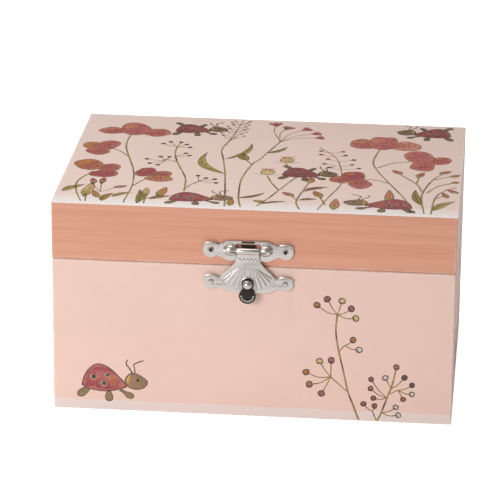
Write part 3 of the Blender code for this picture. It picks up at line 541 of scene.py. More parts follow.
def rub_edges(tree, place, low, high, colour, share=0.6, bare=RUBBED_BOARD):
    """A colour that pales towards the bare board along a box's edges."""
    return tree.mix(tree.math("MULTIPLY", edge_rub(tree, place, low, high), share), colour, bare)


def lay_scratches(tree, given, out):
    """Fine handling marks for the roughness of plated metal."""
    long_marks = tree.add(
        "ShaderNodeMapping",
        {"Vector": given["Place"], "Scale": (300.0, 300.0, 5200.0), "Rotation": (0.3, 0.5, 0.2)},
    )
    marks = tree.noise(long_marks.outputs["Vector"], 1.0, 2.0, 0.7)
    cloud = tree.noise(given["Place"], 420.0, 3.0, 0.6)
    both = tree.math("ADD", tree.math("MULTIPLY", marks, 0.5), tree.math("MULTIPLY", cloud, 0.5))
    spread = tree.add(
        "ShaderNodeMapRange",
        {"Value": both, "From Min": 0.35, "From Max": 0.65, "To Min": given["Low"], "To Max": given["High"]},
        clamp=True,
    )
    tree.feed(out["Roughness"], spread.outputs["Result"])


def handled(tree, place, low, high):
    group = effect_group(
        "Handled metal", [("Place", VECTOR, None), ("Low", FLOAT, 0.1), ("High", FLOAT, 0.3)],
        [("Roughness", FLOAT)], lay_scratches
    )
    links = {"Place": place, "Low": low, "High": high}
    return tree.add("ShaderNodeGroup", links, node_tree=group).outputs["Roughness"]


def opaque(colour):
    return (*colour, 1.0)


def new_material(name, **constants):
    """Makes a Principled material and sets its constants. Returns it, its node helper and its shader."""
    made = bpy.data.materials.new(name)
    made.use_nodes = True
    shader = made.node_tree.nodes["Principled BSDF"]
    for key, value in constants.items():
        shader.inputs[key.replace("_", " ")].default_value = value
    return made, Tree(made.node_tree), shader


def dress(tree, shader, colour, roughness, normal):
    """Feeds the three sockets that most materials vary."""
    for socket, value in (("Base Color", colour), ("Roughness", roughness), ("Normal", normal)):
        tree.feed(shader.inputs[socket], value)


def once(build):
    """A material function that makes its material only the first time."""
    made = {}

    def ask():
        if build.__name__ not in made:
            made[build.__name__] = build()
        return made[build.__name__]

    return ask


@once
def case_paper():
    """Matte laminated paper: pale pink, with a paler strip along the foot."""
    paper = bpy.context.scene.box_paper
    material, tree, shader = new_material("case_paper", Specular_IOR_Level=0.2)
    place = object_place(tree)
    worn = tuple(channel * 0.93 for channel in paper.case_pink)
    pink, _ = mottle(tree, place, opaque(paper.case_pink), opaque(worn), 16.0, 0.55)
    height = tree.add("ShaderNodeSeparateXYZ", {"Vector": place}).outputs["Z"]
    waver = tree.math("MULTIPLY", tree.noise(place, 30.0), 0.0012)
    above = tree.math("GREATER_THAN", tree.math("ADD", height, waver), FOOT_STRIP)
    ground = tree.mix(above, opaque(paper.ground_strip), pink)
    rubbed = rub_edges(tree, place, CASE_LOW, CASE_HIGH, ground)
    dress(
        tree, shader, rubbed, tree.spread(tree.noise(place, 60.0), 0.5, 0.66),
        tree.bump(paper_tooth(tree, place), 0.00002),
    )
    return material


@once
def lid_paper():
    """The lid's top: a greyer pink ground that pales to a border at the front edge."""
    paper = bpy.context.scene.box_paper
    material, tree, shader = new_material("lid_paper", Specular_IOR_Level=0.25)
    place = object_place(tree)
    warm = (paper.lid_ground[0] * 1.04, paper.lid_ground[1] * 0.95, paper.lid_ground[2] * 0.91)
    ground, _ = mottle(tree, place, opaque(paper.lid_ground), opaque(warm), 9.0, 0.6)
    depth = tree.add("ShaderNodeSeparateXYZ", {"Vector": place}).outputs["Y"]
    waver = tree.math("MULTIPLY", tree.noise(place, 40.0), 0.003)
    from_front = tree.math("SUBTRACT", tree.math("ADD", depth, waver), LID_LOW.y)
    fade = tree.add(
        "ShaderNodeMapRange", {"Value": from_front, "From Min": 0.0045, "From Max": 0.0125}, clamp=True,
    )
    tinted = tree.mix(fade.outputs["Result"], opaque(paper.lid_border), ground)
    rubbed = rub_edges(tree, place, LID_LOW, LID_HIGH, tinted)
    dress(
        tree, shader, rubbed, tree.spread(tree.noise(place, 60.0), 0.42, 0.58),
        tree.bump(paper_tooth(tree, place), 0.00002),
    )
    return material


@once
def grain_paper():
    """Terracotta paper printed with a fine level wood grain."""
    paper = bpy.context.scene.box_paper
    material, tree, shader = new_material("grain_paper", Specular_IOR_Level=0.35)
    place = object_place(tree)
    long_grain = tree.add("ShaderNodeMapping", {"Vector": place, "Scale": (9.0, 9.0, 520.0)})
    streaks = tree.noise(long_grain.outputs["Vector"], 1.0, 5.0, 0.65)
    fine_grain = tree.add("ShaderNodeMapping", {"Vector": place, "Scale": (40.0, 40.0, 2600.0)})
    fine = tree.noise(fine_grain.outputs["Vector"], 1.0, 3.0, 0.6)
    both = tree.math("ADD", tree.math("MULTIPLY", streaks, 0.65), tree.math("MULTIPLY", fine, 0.35))
    spread = tree.add("ShaderNodeMapRange", {"Value": both, "From Min": 0.38, "From Max": 0.64}, clamp=True)
    dark = (paper.terracotta[0] * 0.86, paper.terracotta[1] * 0.78, paper.terracotta[2] * 0.76)
    colour = tree.mix(spread.outputs["Result"], opaque(dark), opaque(paper.terracotta))
    patched, _ = mottle(tree, place, colour, opaque(tuple(c * 1.03 for c in paper.terracotta)), 5.0, 0.25)
    rubbed = rub_edges(tree, place, LID_LOW, LID_HIGH, patched, 0.5, (0.85, 0.66, 0.56, 1))
    dress(tree, shader, rubbed, tree.spread(fine, 0.4, 0.58), tree.bump(both, 0.00003))
    return material


@once
def print_ink():
    """Printed ink: each shape carries its own two colours, which run into each other like a wash."""
    material, tree, shader = new_material("print_ink", Specular_IOR_Level=0.35, Roughness=0.5)
    place = object_place(tree)
    tint = tree.add("ShaderNodeAttribute", attribute_name="tint").outputs["Color"]
    second = tree.add("ShaderNodeAttribute", attribute_name="second").outputs["Color"]
    wash, _ = mottle(tree, place, tint, second, 260.0, 0.9)
    hatch_place = tree.add(
        "ShaderNodeMapping",
        {"Vector": place, "Rotation": (0.0, 0.6, 0.6), "Scale": (2600.0, 2600.0, 700.0)},
    )
    hatch = tree.ramp(tree.noise(hatch_place.outputs["Vector"], 1.0, 2.0, 0.5), (0.3, 0.62), (0.46, 1.0))
    drawn = tree.mix(0.75, wash, hatch, "MULTIPLY")
    tree.feed(shader.inputs["Base Color"], drawn)
    tree.feed(shader.inputs["Normal"], tree.bump(paper_tooth(tree, place), 0.00002))
    return material


def plated(name, colour, low, high, tarnish):
    """Plated or polished metal with handling marks and a little dullness in soft patches."""
    material, tree, shader = new_material(name, Metallic=1.0)
    place = object_place(tree)
    dull = tuple(channel * tarnish for channel in colour)
    tone, _ = mottle(tree, place, opaque(colour), opaque(dull), 180.0, 0.5)
    dress(
        tree, shader, tone, handled(tree, place, low, high),
        tree.bump(tree.noise(place, 900.0, 2.0), 0.00001),
    )
    return material


@once
def nickel():
    return plated("nickel_plate", bpy.context.scene.box_metal.nickel, 0.22, 0.42, 0.85)


@once
def brass():
    return plated("satin_brass", bpy.context.scene.box_metal.brass, 0.25, 0.45, 0.75)


@once
def steel():
    return plated("bright_steel", bpy.context.scene.box_metal.steel, 0.2, 0.4, 0.8)


@once
def painted_shade_metal():
    """Painted shade: near-black metal inside the thumb tab and the catch's other hollows."""
    material, tree, shader = new_material("painted_shade_recess", Metallic=0.8)
    place = object_place(tree)
    tone, _ = mottle(tree, place, (0.02, 0.018, 0.016, 1), (0.06, 0.055, 0.05, 1), 700.0, 0.8)
    tree.feed(shader.inputs["Base Color"], tone)
    tree.feed(shader.inputs["Roughness"], handled(tree, place, 0.2, 0.45))
    return material


@once
def flock():
    """Flocked lining: short nap that lies this way and that."""
    lining = bpy.context.scene.box_lining
    material, tree, shader = new_material(
        "flocked_lining", Roughness=0.95, Specular_IOR_Level=0.1, Sheen_Weight=0.6, Sheen_Roughness=0.45
    )
    shader.inputs["Sheen Tint"].default_value = (1.0, 0.85, 0.82, 1.0)
    place = object_place(tree)
    tone, _ = mottle(tree, place, opaque(lining.flock), opaque(lining.flock_shade), 45.0, 0.8)
    speck = tree.noise(place, 4200.0, 2.0, 0.7)
    grain = tree.ramp(speck, (0.3, 0.72), (0.7, 1.0))
    tree.feed(shader.inputs["Base Color"], tree.mix(0.8, tone, grain, "MULTIPLY"))
    tree.feed(shader.inputs["Normal"], tree.bump(tree.noise(place, 3000.0, 3.0, 0.7), 0.00012))
    return material


@once
def satin_trim():
    """Twisted braid: a fine diagonal rib in the object's own coordinates, with painted shade darkening the
    hollows between the ribs.
    """
    lining = bpy.context.scene.box_lining
    material, tree, shader = new_material("satin_trim", Specular_IOR_Level=0.5, Sheen_Weight=0.3)
    place = object_place(tree)
    wave = tree.add(
        "ShaderNodeTexWave", {"Vector": place, "Scale": 420.0, "Distortion": 0.6},
        bands_direction="DIAGONAL",
    )
    # Painted shade: a darker copy of the trim colour in the hollows of the rib.
    shade = tuple(channel * 0.7 for channel in lining.trim)
    dress(
        tree, shader, tree.mix(wave.outputs["Fac"], opaque(shade), opaque(lining.trim)),
        tree.spread(wave.outputs["Fac"], 0.6, 0.35), tree.bump(wave.outputs["Fac"], 0.00015),
    )
    return material


@once
def silvered_glass():
    material, tree, shader = new_material("silvered_glass", Metallic=1.0)
    place = object_place(tree)
    tone, _ = mottle(tree, place, (0.9, 0.92, 0.92, 1), (0.84, 0.87, 0.87, 1), 20.0, 0.4)
    tree.feed(shader.inputs["Base Color"], tone)
    tree.feed(shader.inputs["Roughness"], tree.spread(tree.noise(place, 90.0), 0.0, 0.03))
    return material


def painted(name, colour, shade, rough, scale=220.0, sheen=0.0):
    """Painted or moulded plastic with a slightly uneven coat."""
    material, tree, shader = new_material(name, Specular_IOR_Level=0.45, Sheen_Weight=sheen)
    place = object_place(tree)
    tone, _ = mottle(
        tree, place, opaque(colour), opaque(tuple(channel * shade for channel in colour)), scale, 0.5,
    )
    dress(
        tree, shader, tone, tree.spread(tree.noise(place, scale * 3), rough * 0.85, rough * 1.2),
        tree.bump(tree.noise(place, 1500.0, 2.0), 0.00001),
    )
    return material


@once
def doll_skin():
    return painted("painted_skin", bpy.context.scene.box_doll.skin, 0.93, 0.42)


@once
def doll_hair():
    return painted("painted_hair", bpy.context.scene.box_doll.hair, 0.7, 0.35, 600.0)


@once
def doll_dress():
    return painted("satin_dress", bpy.context.scene.box_doll.dress, 0.86, 0.32, 400.0, 0.4)


@once
def face_paint():
    return painted("face_paint", (0.05, 0.03, 0.025), 0.7, 0.3)


@once
def lip_paint():
    return painted("lip_paint", (0.5, 0.08, 0.09), 0.8, 0.3)


@once
def white_plastic():
    return painted("white_plastic", (0.82, 0.79, 0.74), 0.95, 0.4)


@once
def tulle():
    """Stiff net: open between its threads."""
    material, tree, shader = new_material("tulle_net", Roughness=0.7, Sheen_Weight=0.5)
    place = object_place(tree)
    net = tree.add("ShaderNodeTexVoronoi", {"Vector": place, "Scale": 1500.0}, feature="DISTANCE_TO_EDGE")
    thread = tree.math("LESS_THAN", net.outputs["Distance"], 0.2)
    tone, _ = mottle(tree, place, opaque(bpy.context.scene.box_doll.net), (0.93, 0.66, 0.66, 1), 120.0, 0.6)
    tree.feed(shader.inputs["Base Color"], tone)
    tree.feed(shader.inputs["Alpha"], tree.math("ADD", tree.math("MULTIPLY", thread, 0.45), 0.5))
    return material


@once
def backdrop():
    """Seamless studio paper, bright enough to read as white."""
    studio = bpy.context.scene.box_studio
    material, tree, shader = new_material(
        "backdrop", Roughness=0.9, Specular_IOR_Level=0.1, Emission_Strength=1.0,
    )
    seen = tree.add("ShaderNodeLightPath").outputs["Is Camera Ray"]
    tree.feed(shader.inputs["Emission Color"], tree.mix(seen, (0.14, 0.14, 0.14, 1.0), (0.8, 0.8, 0.8, 1.0)))
    place = object_place(tree)
    tone, _ = mottle(
        tree, place, opaque(studio.backdrop), opaque(tuple(c * 0.99 for c in studio.backdrop)), 3.0, 0.5,
    )
    tree.feed(shader.inputs["Base Color"], tone)
    return material


# Print: thin layers of ink on a flat face

class Print:
    """Ink shapes on one flat face, in millimetres across and up it. A motif's shapes lie over one another."""

    def __init__(self, name, origin, across, up, low, high):
        self.name = name
        self.low, self.high = low, high
        self.origin, self.across, self.up = Vector(origin), Vector(across), Vector(up)
        self.normal = self.across.cross(self.up)
        self.bm = bmesh.new()
        self.tint = self.bm.verts.layers.float_color.new("tint")
        self.second = self.bm.verts.layers.float_color.new("second")
        self.ink = bpy.context.scene.box_ink
        self.start(0, 0)

    def start(self, x, y, size=1.0, facing=1, tilt=0.0, shade=1.0, tall=1.0):
        """Begins a motif at a place; facing -1 turns it left to right, tall stretches it upwards."""
        self.place, self.size, self.facing, self.tilt = (x, y), size, facing, math.radians(tilt)
        self.shade, self.tall = shade, tall
        self.lift = INK_BASE

    def spot(self, point):
        """Where a point of the motif lies on the face, in millimetres; nothing passes the face's edge."""
        x, y = point[0] * self.facing, point[1] * self.tall
        cos, sin = math.cos(self.tilt), math.sin(self.tilt)
        turned = (x * cos - y * sin, x * sin + y * cos)
        return tuple(
            min(high, max(low, place + self.size * reach))
            for place, reach, low, high in zip(self.place, turned, self.low, self.high)
        )

    def fill(self, outline, tint, second=None):
        """A flat shape of ink over the last one."""
        self.lift += INK_STEP
        corners = [self.spot(point) for point in outline]
        area = signed_area(corners)
        if abs(area) < SMALLEST_INK:
            return
        if area < 0:
            corners.reverse()
        verts = [
            self.bm.verts.new(self.origin + (x * self.across + y * self.up + self.lift * self.normal) * MM)
            for x, y in corners
        ]
        for vert in verts:
            vert[self.tint] = opaque(self.shade * Vector(tint))
            vert[self.second] = opaque(self.shade * Vector(second or tint))
        self.bm.faces.new(verts)

    def line(self, points, tint=None, width=None, taper=0.35, loop=False):
        """A hand-drawn line: its width swells and thins, and it may taper at the end."""
        tint = self.ink.outline if tint is None else tint
        width = (self.ink.line_width / MM if width is None else width) / self.size
        path = [*points, points[0]] if loop else smooth_path(points, 5)
        left, right = [], []
        for number, point in enumerate(path):
            before, after = path[max(0, number - 1)], path[min(len(path) - 1, number + 1)]
            if loop:
                before, after = path[(number - 1) % (len(path) - 1)], path[(number + 1) % (len(path) - 1)]
            along = Vector((after[0] - before[0], after[1] - before[1]))
            side = Vector((-along.y, along.x)).normalized()
            share = number / (len(path) - 1)
            pressure = 1.0 + 0.35 * noise.noise(Vector((point[0] * 0.9, point[1] * 0.9, self.place[0])))
            half = width / 2 * pressure * (1.0 if loop else 1 - (1 - taper) * share)
            left.append((point[0] + side.x * half, point[1] + side.y * half))
            right.append((point[0] - side.x * half, point[1] - side.y * half))
        for start in range(len(path) - 1):
            self.fill([left[start], left[start + 1], right[start + 1], right[start]], tint)
            self.lift -= INK_STEP
        self.lift += INK_STEP

    def outline(self, points, tint=None, width=None):
        self.line(points, tint, width, loop=True)

    def finish(self, body, slot):
        mesh = bpy.data.meshes.new(self.name)
        self.bm.normal_update()
        bmesh.ops.triangulate(self.bm, faces=self.bm.faces)
        self.bm.to_mesh(mesh)
        self.bm.free()
        piece = bpy.data.objects.new(self.name, mesh)
        bpy.context.scene.collection.objects.link(piece)
        return finish(piece, body, print_ink(), angle=0)


def oval(x, y, across, up=None, tilt=0.0, wobble=0.08, steps=18):
    """A hand-drawn oval's outline."""
    up = across if up is None else up
    cos, sin = math.cos(math.radians(tilt)), math.sin(math.radians(tilt))
    points = []
    for step in range(steps):
        angle = 2 * math.pi * step / steps
        reach = 1 + wobble * noise.noise(
            Vector((x * 0.7 + math.cos(angle), y * 0.7 + math.sin(angle), across)),
        )
        u, v = across * reach * math.cos(angle), up * reach * math.sin(angle)
        points.append((x + u * cos - v * sin, y + u * sin + v * cos))
    return points


def draw_beetle(sheet, x, y, size=1.0, facing=1, tilt=0.0, seen_from_above=False, shade=1.0):
    """A spotted beetle, 30 mm long at size 1, that walks to the right."""
    ink = sheet.ink
    sheet.start(x, y, size, facing, tilt, shade, 1.2 if seen_from_above else 1.0)
    feet = [
        [(2.5, 2.4), (0.6, 1.8), (-1.6, 0.2), (-2.0, -1.6), (-0.6, -2.4), (1.4, -1.6), (3.6, 1.4)],
        [(11.6, 0.6), (10.8, -1.2), (10.9, -3.4), (12.4, -4.1), (13.8, -3.4), (13.9, -1.4), (12.8, 0.7)],
        [
            (17.0, 1.2), (18.8, 0.2), (20.6, -2.0), (22.6, -2.4), (23.6, -1.2), (22.4, 0.2), (20.0, 0.8),
            (18.2, 1.8),
        ],
    ]
    if seen_from_above:
        feet += [
            [(3.6, 11.6), (2.2, 13.4), (0.2, 15.2), (1.0, 16.6), (2.8, 16.4), (4.6, 14.4), (5.6, 12.6)],
            [(14.0, 10.6), (15.6, 13.0), (17.8, 13.8), (18.2, 12.2), (16.6, 10.6), (15.4, 9.0)],
        ]
    for foot in feet:
        rounded = smooth_path([*foot, foot[0]], 4)
        sheet.fill(rounded, ink.head, tuple(1.35 * channel for channel in ink.head))
        sheet.outline(rounded, width=0.36)
    shell = smooth_path([
        (0.0, 3.4), (0.9, 7.0), (3.0, 11.0), (6.4, 13.6), (9.6, 13.5), (13.0, 11.6), (16.8, 8.0), (20.4, 3.8),
        (18.4, 2.4), (14.0, 1.1), (9.6, 0.7), (4.6, 1.3), (1.6, 2.4), (0.0, 3.4),
    ], 4)
    sheet.fill(shell, ink.shell, ink.petal)
    for wash, tone, other in (
        (oval(4.4, 4.4, 3.2, 1.6, 20), ink.rose, ink.shell),
        (oval(9.8, 3.0, 3.6, 1.4, -4), (0.26, 0.05, 0.08), ink.rose),
        (oval(15.0, 5.4, 2.6, 1.8, -38), ink.shell, ink.ochre),
        (oval(8.8, 8.2, 2.6, 1.6, 10), ink.petal, ink.shell),
        (oval(7.6, 11.4, 2.8, 1.0, 4), ink.rose, ink.shell),
    ):
        sheet.fill(wash, tone, other)
    sheet.line([(0.4, 4.6), (1.8, 9.0), (4.8, 12.5)], ink.ochre, 0.5)
    sheet.outline(shell, width=0.42)
    ring = ink.petal_pale if seen_from_above else Vector((0.45, 0.42, 0.34))
    for across, up, reach in ((5.2, 7.4, 1.2), (11.6, 8.4, 0.95), (10.0, 4.4, 1.2)):
        sheet.fill(oval(across + 0.2, up - 0.3, reach * 1.25), ink.ochre, ink.petal)
        sheet.fill(oval(across - 0.35, up + 0.1, reach), ring, 0.65 * Vector(ring))
        sheet.fill(oval(across + 0.15, up + 0.15, reach * 0.78), (0.04, 0.04, 0.03), (0.1, 0.1, 0.07))
    head = smooth_path([
        (19.6, 6.2), (20.4, 8.2), (22.2, 9.7), (25.0, 9.6), (28.0, 7.9), (29.8, 6.2), (29.3, 4.2),
        (27.4, 2.6),
        (24.4, 2.1), (21.6, 2.9), (20.2, 4.4), (19.6, 6.2),
    ], 4)
    sheet.fill(head, ink.head, (0.42, 0.24, 0.15))
    sheet.fill(
        [(20.2, 6.4), (21.0, 8.2), (22.4, 9.2), (22.0, 7.4), (21.4, 5.0), (20.6, 4.8)], (0.72, 0.55, 0.1),
        ink.ochre,
    )
    sheet.outline(head, width=0.34)
    sheet.fill(oval(25.4, 6.6, 0.62), (0.03, 0.02, 0.02), (0.06, 0.02, 0.04))
    sheet.line([(23.0, 9.9), (21.4, 12.6), (20.2, 14.4), (20.8, 16.4)], width=0.55, taper=0.9)
    sheet.line([(24.2, 9.9), (24.0, 12.4), (23.9, 14.4), (28.0, 16.3)], width=0.55, taper=0.9)


def draw_stem(sheet, points, width=0.75):
    """A brown stem with long yellow-green stretches."""
    sheet.start(0, 0)
    sheet.line(points, sheet.ink.bark, width, 0.8)
    path = smooth_path(points, 5)
    for start in range(0, len(path) - 4, 9):
        sheet.line([tuple(point) for point in path[start:start + 8:2]], sheet.ink.olive, width * 0.68, 0.6)


def draw_berry(sheet, x, y, reach, kind="orange"):
    """A round berry with a dark edge, a lighter heart and a small shadow at its foot."""
    ink = sheet.ink
    tone, heart = {
        "orange": (ink.ochre, (0.42, 0.13, 0.07)), "ochre": (ink.berry_cream, (0.6, 0.42, 0.12)),
        "pink": (ink.rose, (0.44, 0.15, 0.24)), "dark": (ink.outline, (0.24, 0.11, 0.08)),
        "pale": ((0.82, 0.76, 0.72), (0.62, 0.52, 0.46)), "red": ((0.42, 0.15, 0.1), (0.28, 0.08, 0.07)),
    }[kind]
    sheet.start(0, 0)
    shape = oval(x, y, reach, reach * 1.08, 20 * x, 0.14)
    sheet.fill(shape, tone, heart)
    sheet.fill(oval(x + reach * 0.1, y + reach * 0.1, reach * 0.5), heart, tone)
    sheet.outline(shape, width=0.5)
    sheet.fill(oval(x - reach * 0.5, y - reach * 0.7, reach * 0.42, reach * 0.26), ink.outline)


def draw_spray(sheet, root, berries, reach=1.2):
    """Berries on short bowed stalks from one point of a stem: each is (x, y, kind)."""
    for x, y, kind in berries:
        bow = ((root[0] + x) / 2, (root[1] + y) / 2 - 0.12 * abs(x - root[0]))
        draw_stem(sheet, [root, bow, (x, y)], 0.5)
    for x, y, kind in berries:
        draw_berry(sheet, x, y, reach, kind)


def draw_leaf(sheet, base, tip, width, tone=None, veins=3, curl=0.12):
    """A pointed leaf, lighter on one side of its midrib, with side veins."""
    ink = sheet.ink
    base, tip = Vector(base), Vector(tip)
    along, side = tip - base, Vector((base.y - tip.y, tip.x - base.x)).normalized()
    bow = side * along.length * curl
    shares = [number / 10 for number in range(11)]

    def rib(share):
        return base + along * share + bow * 4 * share * (1 - share)

    def edge(share, turn):
        return rib(share) + side * turn * width / 2 * math.sin(math.pi * share ** 0.8)

    sheet.start(0, 0)
    outer = [edge(share, 1) for share in shares]
    inner = [edge(share, -1) for share in shares[9:0:-1]]
    sheet.fill([*outer, *inner], tone or ink.leaf, ink.olive)
    sheet.fill([*outer, *(rib(share) for share in shares[9:0:-1])], ink.dark_leaf, tone or ink.leaf)
    sheet.outline([*outer, *inner], width=0.3)
    sheet.line([rib(share) for share in (0, 0.35, 0.7, 0.97)], width=0.36)
    for number in range(veins):
        share = 0.22 + 0.5 * number / max(1, veins)
        for turn in (-1, 1):
            sheet.line([rib(share), edge(share + 0.12, 0.65 * turn)], width=0.22)


def draw_poppy(sheet, lobes, heart):
    """Round overlapping petals on one stem, speckled and edged. Each is (x, y, across, up, tilt, colour)."""
    ink = sheet.ink
    colours = {
        "petal": (ink.petal, ink.shell), "rose": (ink.rose, ink.petal), "ochre": (ink.ochre, ink.petal),
        "shell": (ink.shell, ink.rose), "rust": (ink.ochre, ink.shell), "pale": (ink.petal_pale, ink.petal),
    }
    sheet.start(0, 0)
    for x, y, across, up, tilt, colour in lobes:
        shape = oval(x, y, across, up, tilt, 0.3, 26)
        tone, other = colours[colour]
        sheet.fill(shape, tone, other)
        sheet.fill(oval(x + across * 0.25, y - up * 0.3, across * 0.6, up * 0.5, tilt, 0.5), other, tone)
        sheet.fill(
            oval(x - across * 0.3, y + up * 0.35, across * 0.45, up * 0.35, tilt, 0.5), tone, ink.ochre,
        )
        sheet.outline(oval(x, y, across * 0.96, up * 0.96, tilt, 0.3, 26), ink.ochre, 0.55)
        sheet.outline(shape, ink.bark, 0.32)
        for number in range(18):
            angle, reach = 2.4 * number, 0.14 + 0.038 * number
            speck = (x + across * reach * math.cos(angle), y + up * reach * math.sin(angle))
            sheet.fill(oval(*speck, 0.34, 0.8, 0, 0.3, 7), ink.speck)
        for turn in (-0.45, 0.0, 0.45):
            angle = math.atan2(heart[1] - y, heart[0] - x) + turn
            edge = (x + across * 0.9 * math.cos(angle), y + up * 0.9 * math.sin(angle))
            sheet.line([edge, (x + 0.5 * turn * across, y + 0.2 * up)], ink.shell, 0.3)


def draw_bud(sheet, x, y, reach, tilt=0.0, kind="petal", tall=1.0):
    """A closed bud on its calyx."""
    ink = sheet.ink
    tone = {
        "petal": ink.petal, "rose": ink.rose, "ochre": ink.ochre, "leaf": ink.leaf, "cream": ink.berry_cream,
    }[kind]
    sheet.start(x, y, reach, 1, tilt, 1.0, tall)
    shape = smooth_path(
        [(0, -1.0), (0.62, -0.4), (0.66, 0.4), (0.1, 1.4), (-0.5, 0.5), (-0.6, -0.3), (0, -1.0)], 3,
    )
    sheet.fill(shape, tone, ink.ochre)
    sheet.fill(
        [(0, -1.0), (0.6, -0.4), (0.2, 0.1), (0, -0.3), (-0.25, 0.1), (-0.58, -0.3)], ink.dark_leaf,
        ink.leaf,
    )
    sheet.outline(shape, width=0.3)
    sheet.line([(0.05, -0.2), (0.1, 1.0)], width=0.22)


def draw_sprig(sheet, points, reach=3.0, rise=1.5, count=7, seed=0.45, bottom=0.3):
    """Fine side twigs in pairs, each with a long seed at its tip."""
    ink = sheet.ink
    path = smooth_path(points, 8)
    draw_stem(sheet, points, 0.6)
    for number in range(count):
        spot = path[int((bottom + (0.98 - bottom) * number / count) * (len(path) - 2))]
        for turn in (-1, 1):
            size = reach * (1 - 0.3 * number / count) * (1 + 0.2 * math.sin(3.1 * number + turn))
            tip = spot + Vector((turn * size, rise))
            sheet.start(0, 0)
            sheet.line([spot, spot + Vector((turn * size * 0.5, rise * 0.3)), tip], ink.bark, 0.34, 0.9)
            sheet.fill(oval(*tip, seed * 2.4, seed * 2.2, 0, 0.1, 10), ink.outline, ink.shell)


def draw_fan(sheet, x, y, reach, tilt=0.0):
    """A small red flower that opens like a fan."""
    ink = sheet.ink
    sheet.start(x, y, reach, 1, tilt)
    shape = [
        (0, -1.0), (1.0, 0.3), (0.7, 0.8), (0.35, 0.55), (0, 0.95), (-0.35, 0.55), (-0.75, 0.8),
        (-1.0, 0.25),
    ]
    sheet.fill(shape, ink.petal, ink.shell)
    sheet.fill([(0, -1.0), (0.4, 0.2), (0, 0.5), (-0.4, 0.2)], ink.shell, ink.bark)
    sheet.outline(shape, ink.bark, 0.34)


def draw_thistle(sheet, x, y, reach):
    """A cream flower head with a pink fringe over long sepals."""
    ink = sheet.ink
    sheet.start(x, y, reach)
    for sepal in ([(-0.4, -1.0), (-1.1, -1.15), (-1.9, -0.9)], [(0.4, -1.0), (1.1, -1.2), (2.0, -1.0)]):
        sheet.line(sepal, ink.bark, 0.5, 0.5)
    head = oval(0, 0, 1.0, 1.25, 0, 0.15)
    sheet.fill(head, ink.berry_cream, ink.ochre)
    for across in (-0.75, -0.3, 0.2, 0.65):
        sheet.line([(across * 0.6, 0.5), (across, 1.2), (across * 1.6, 1.7)], ink.rose, 0.55, 0.5)
        sheet.line([(across, -0.8), (across * 1.1, 0.3)], ink.olive, 0.4)
    sheet.outline(head, ink.bark, 0.36)


LID_STEMS = (
    ((-67, 34), (-67, 18), (-64, 3), (-59, -18), (-57, -38), (-58, -62)), ((-73, 13), (-68, 8), (-64, 2)),
    ((-77, -21), (-82, -35), (-81, -48), (-77, -62)), ((-51, -27), (-54, -33), (-57, -40)),
    ((-33, -44), (-34, -28), (-37, -16), (-41, -2), (-43, 9), (-43, 19)), ((-40, -5), (-43, -2), (-47, -1)),
    ((-33, -41), (-31, -35), (-27, -29)),
    ((-13, -62), (-14, -50), (-17, -19), (-20, 3), (-22, 16), (-20, 29), (-17, 36)),
    ((-6, -62), (-8, -49), (-9, -25), (-6, -3), (-3, 5), (1, 20), (4, 31)), ((-6, -4), (-8, 0), (-9, 2)),
    ((-76, -52), (-75, -62)), ((-49, -50), (-49, -62)), ((-49, -56), (-45, -53), (-41, -52)),
    ((1, -60), (5, -50), (9, -38), (13, -26), (16, -18)), ((2, -18), (5, -28), (9, -38)),
    ((9, 0), (11, -6), (13, -10)),
    ((51, 26), (49, 8), (51, -4), (58, -23), (66, -44), (69, -60)), ((66, 9), (58, 6), (51, -2)),
    ((47, -18), (52, -19), (58, -23)),
    ((20, -62), (18, -52), (20, -36), (22, -25)), ((18, -50), (16, -46), (14, -44)),
    ((19, -40), (23, -36), (28, -33)),
    ((31, -55), (29, -48), (27, -43)), ((75, -62), (73, -38), (77, -16), (82, -6)),
    ((78, -62), (79, -41), (83, -30), (88, -25)), ((73, -33), (70, -22), (61, -8)), ((70, -22), (71, -11)),
    ((77, -16), (82, -12), (87, -9)), ((75, -34), (80, -24), (88, -18)), ((79, -42), (82, -38), (85, -37)),
)
LID_LEAVES = (
    ((-17, -18), (-28, 12), 4.4, 0.2, "leaf"), ((-19, 3), (-9, 27), 3.0, -0.14, "leaf"),
    ((-87, -50), (-78, -40), 4.2, 0.1, "leaf"),
    ((-68, -61), (-64, -50), 4.0, 0.1, "ochre"), ((-64, -55), (-56, -48), 3.0, 0.1, "leaf"),
    ((-52, -62.4), (-53, -44), 3.6, -0.06, "dark_leaf"), ((-47, -56), (-38, -51), 3.4, 0.1, "ochre"),
    ((-9, 2), (-11, 12), 4.8, 0.1, "dark_leaf"), ((-1, 14), (8, 24), 2.6, -0.12, "dark_leaf"),
    ((-8, -50), (3, -42), 2.4, -0.1, "rose"),
    ((3, -57), (14, -53), 2.0, 0.12, "dark_leaf"), ((19, -50), (27, -48), 2.4, 0.1, "shell"),
    ((20, -37), (31, -31), 2.6, 0.1, "shell"),
    ((73, -50), (70, -30), 3.6, 0.05, "dark_leaf"), ((79, -57), (88, -44), 4.2, 0.1, "leaf"), 
)
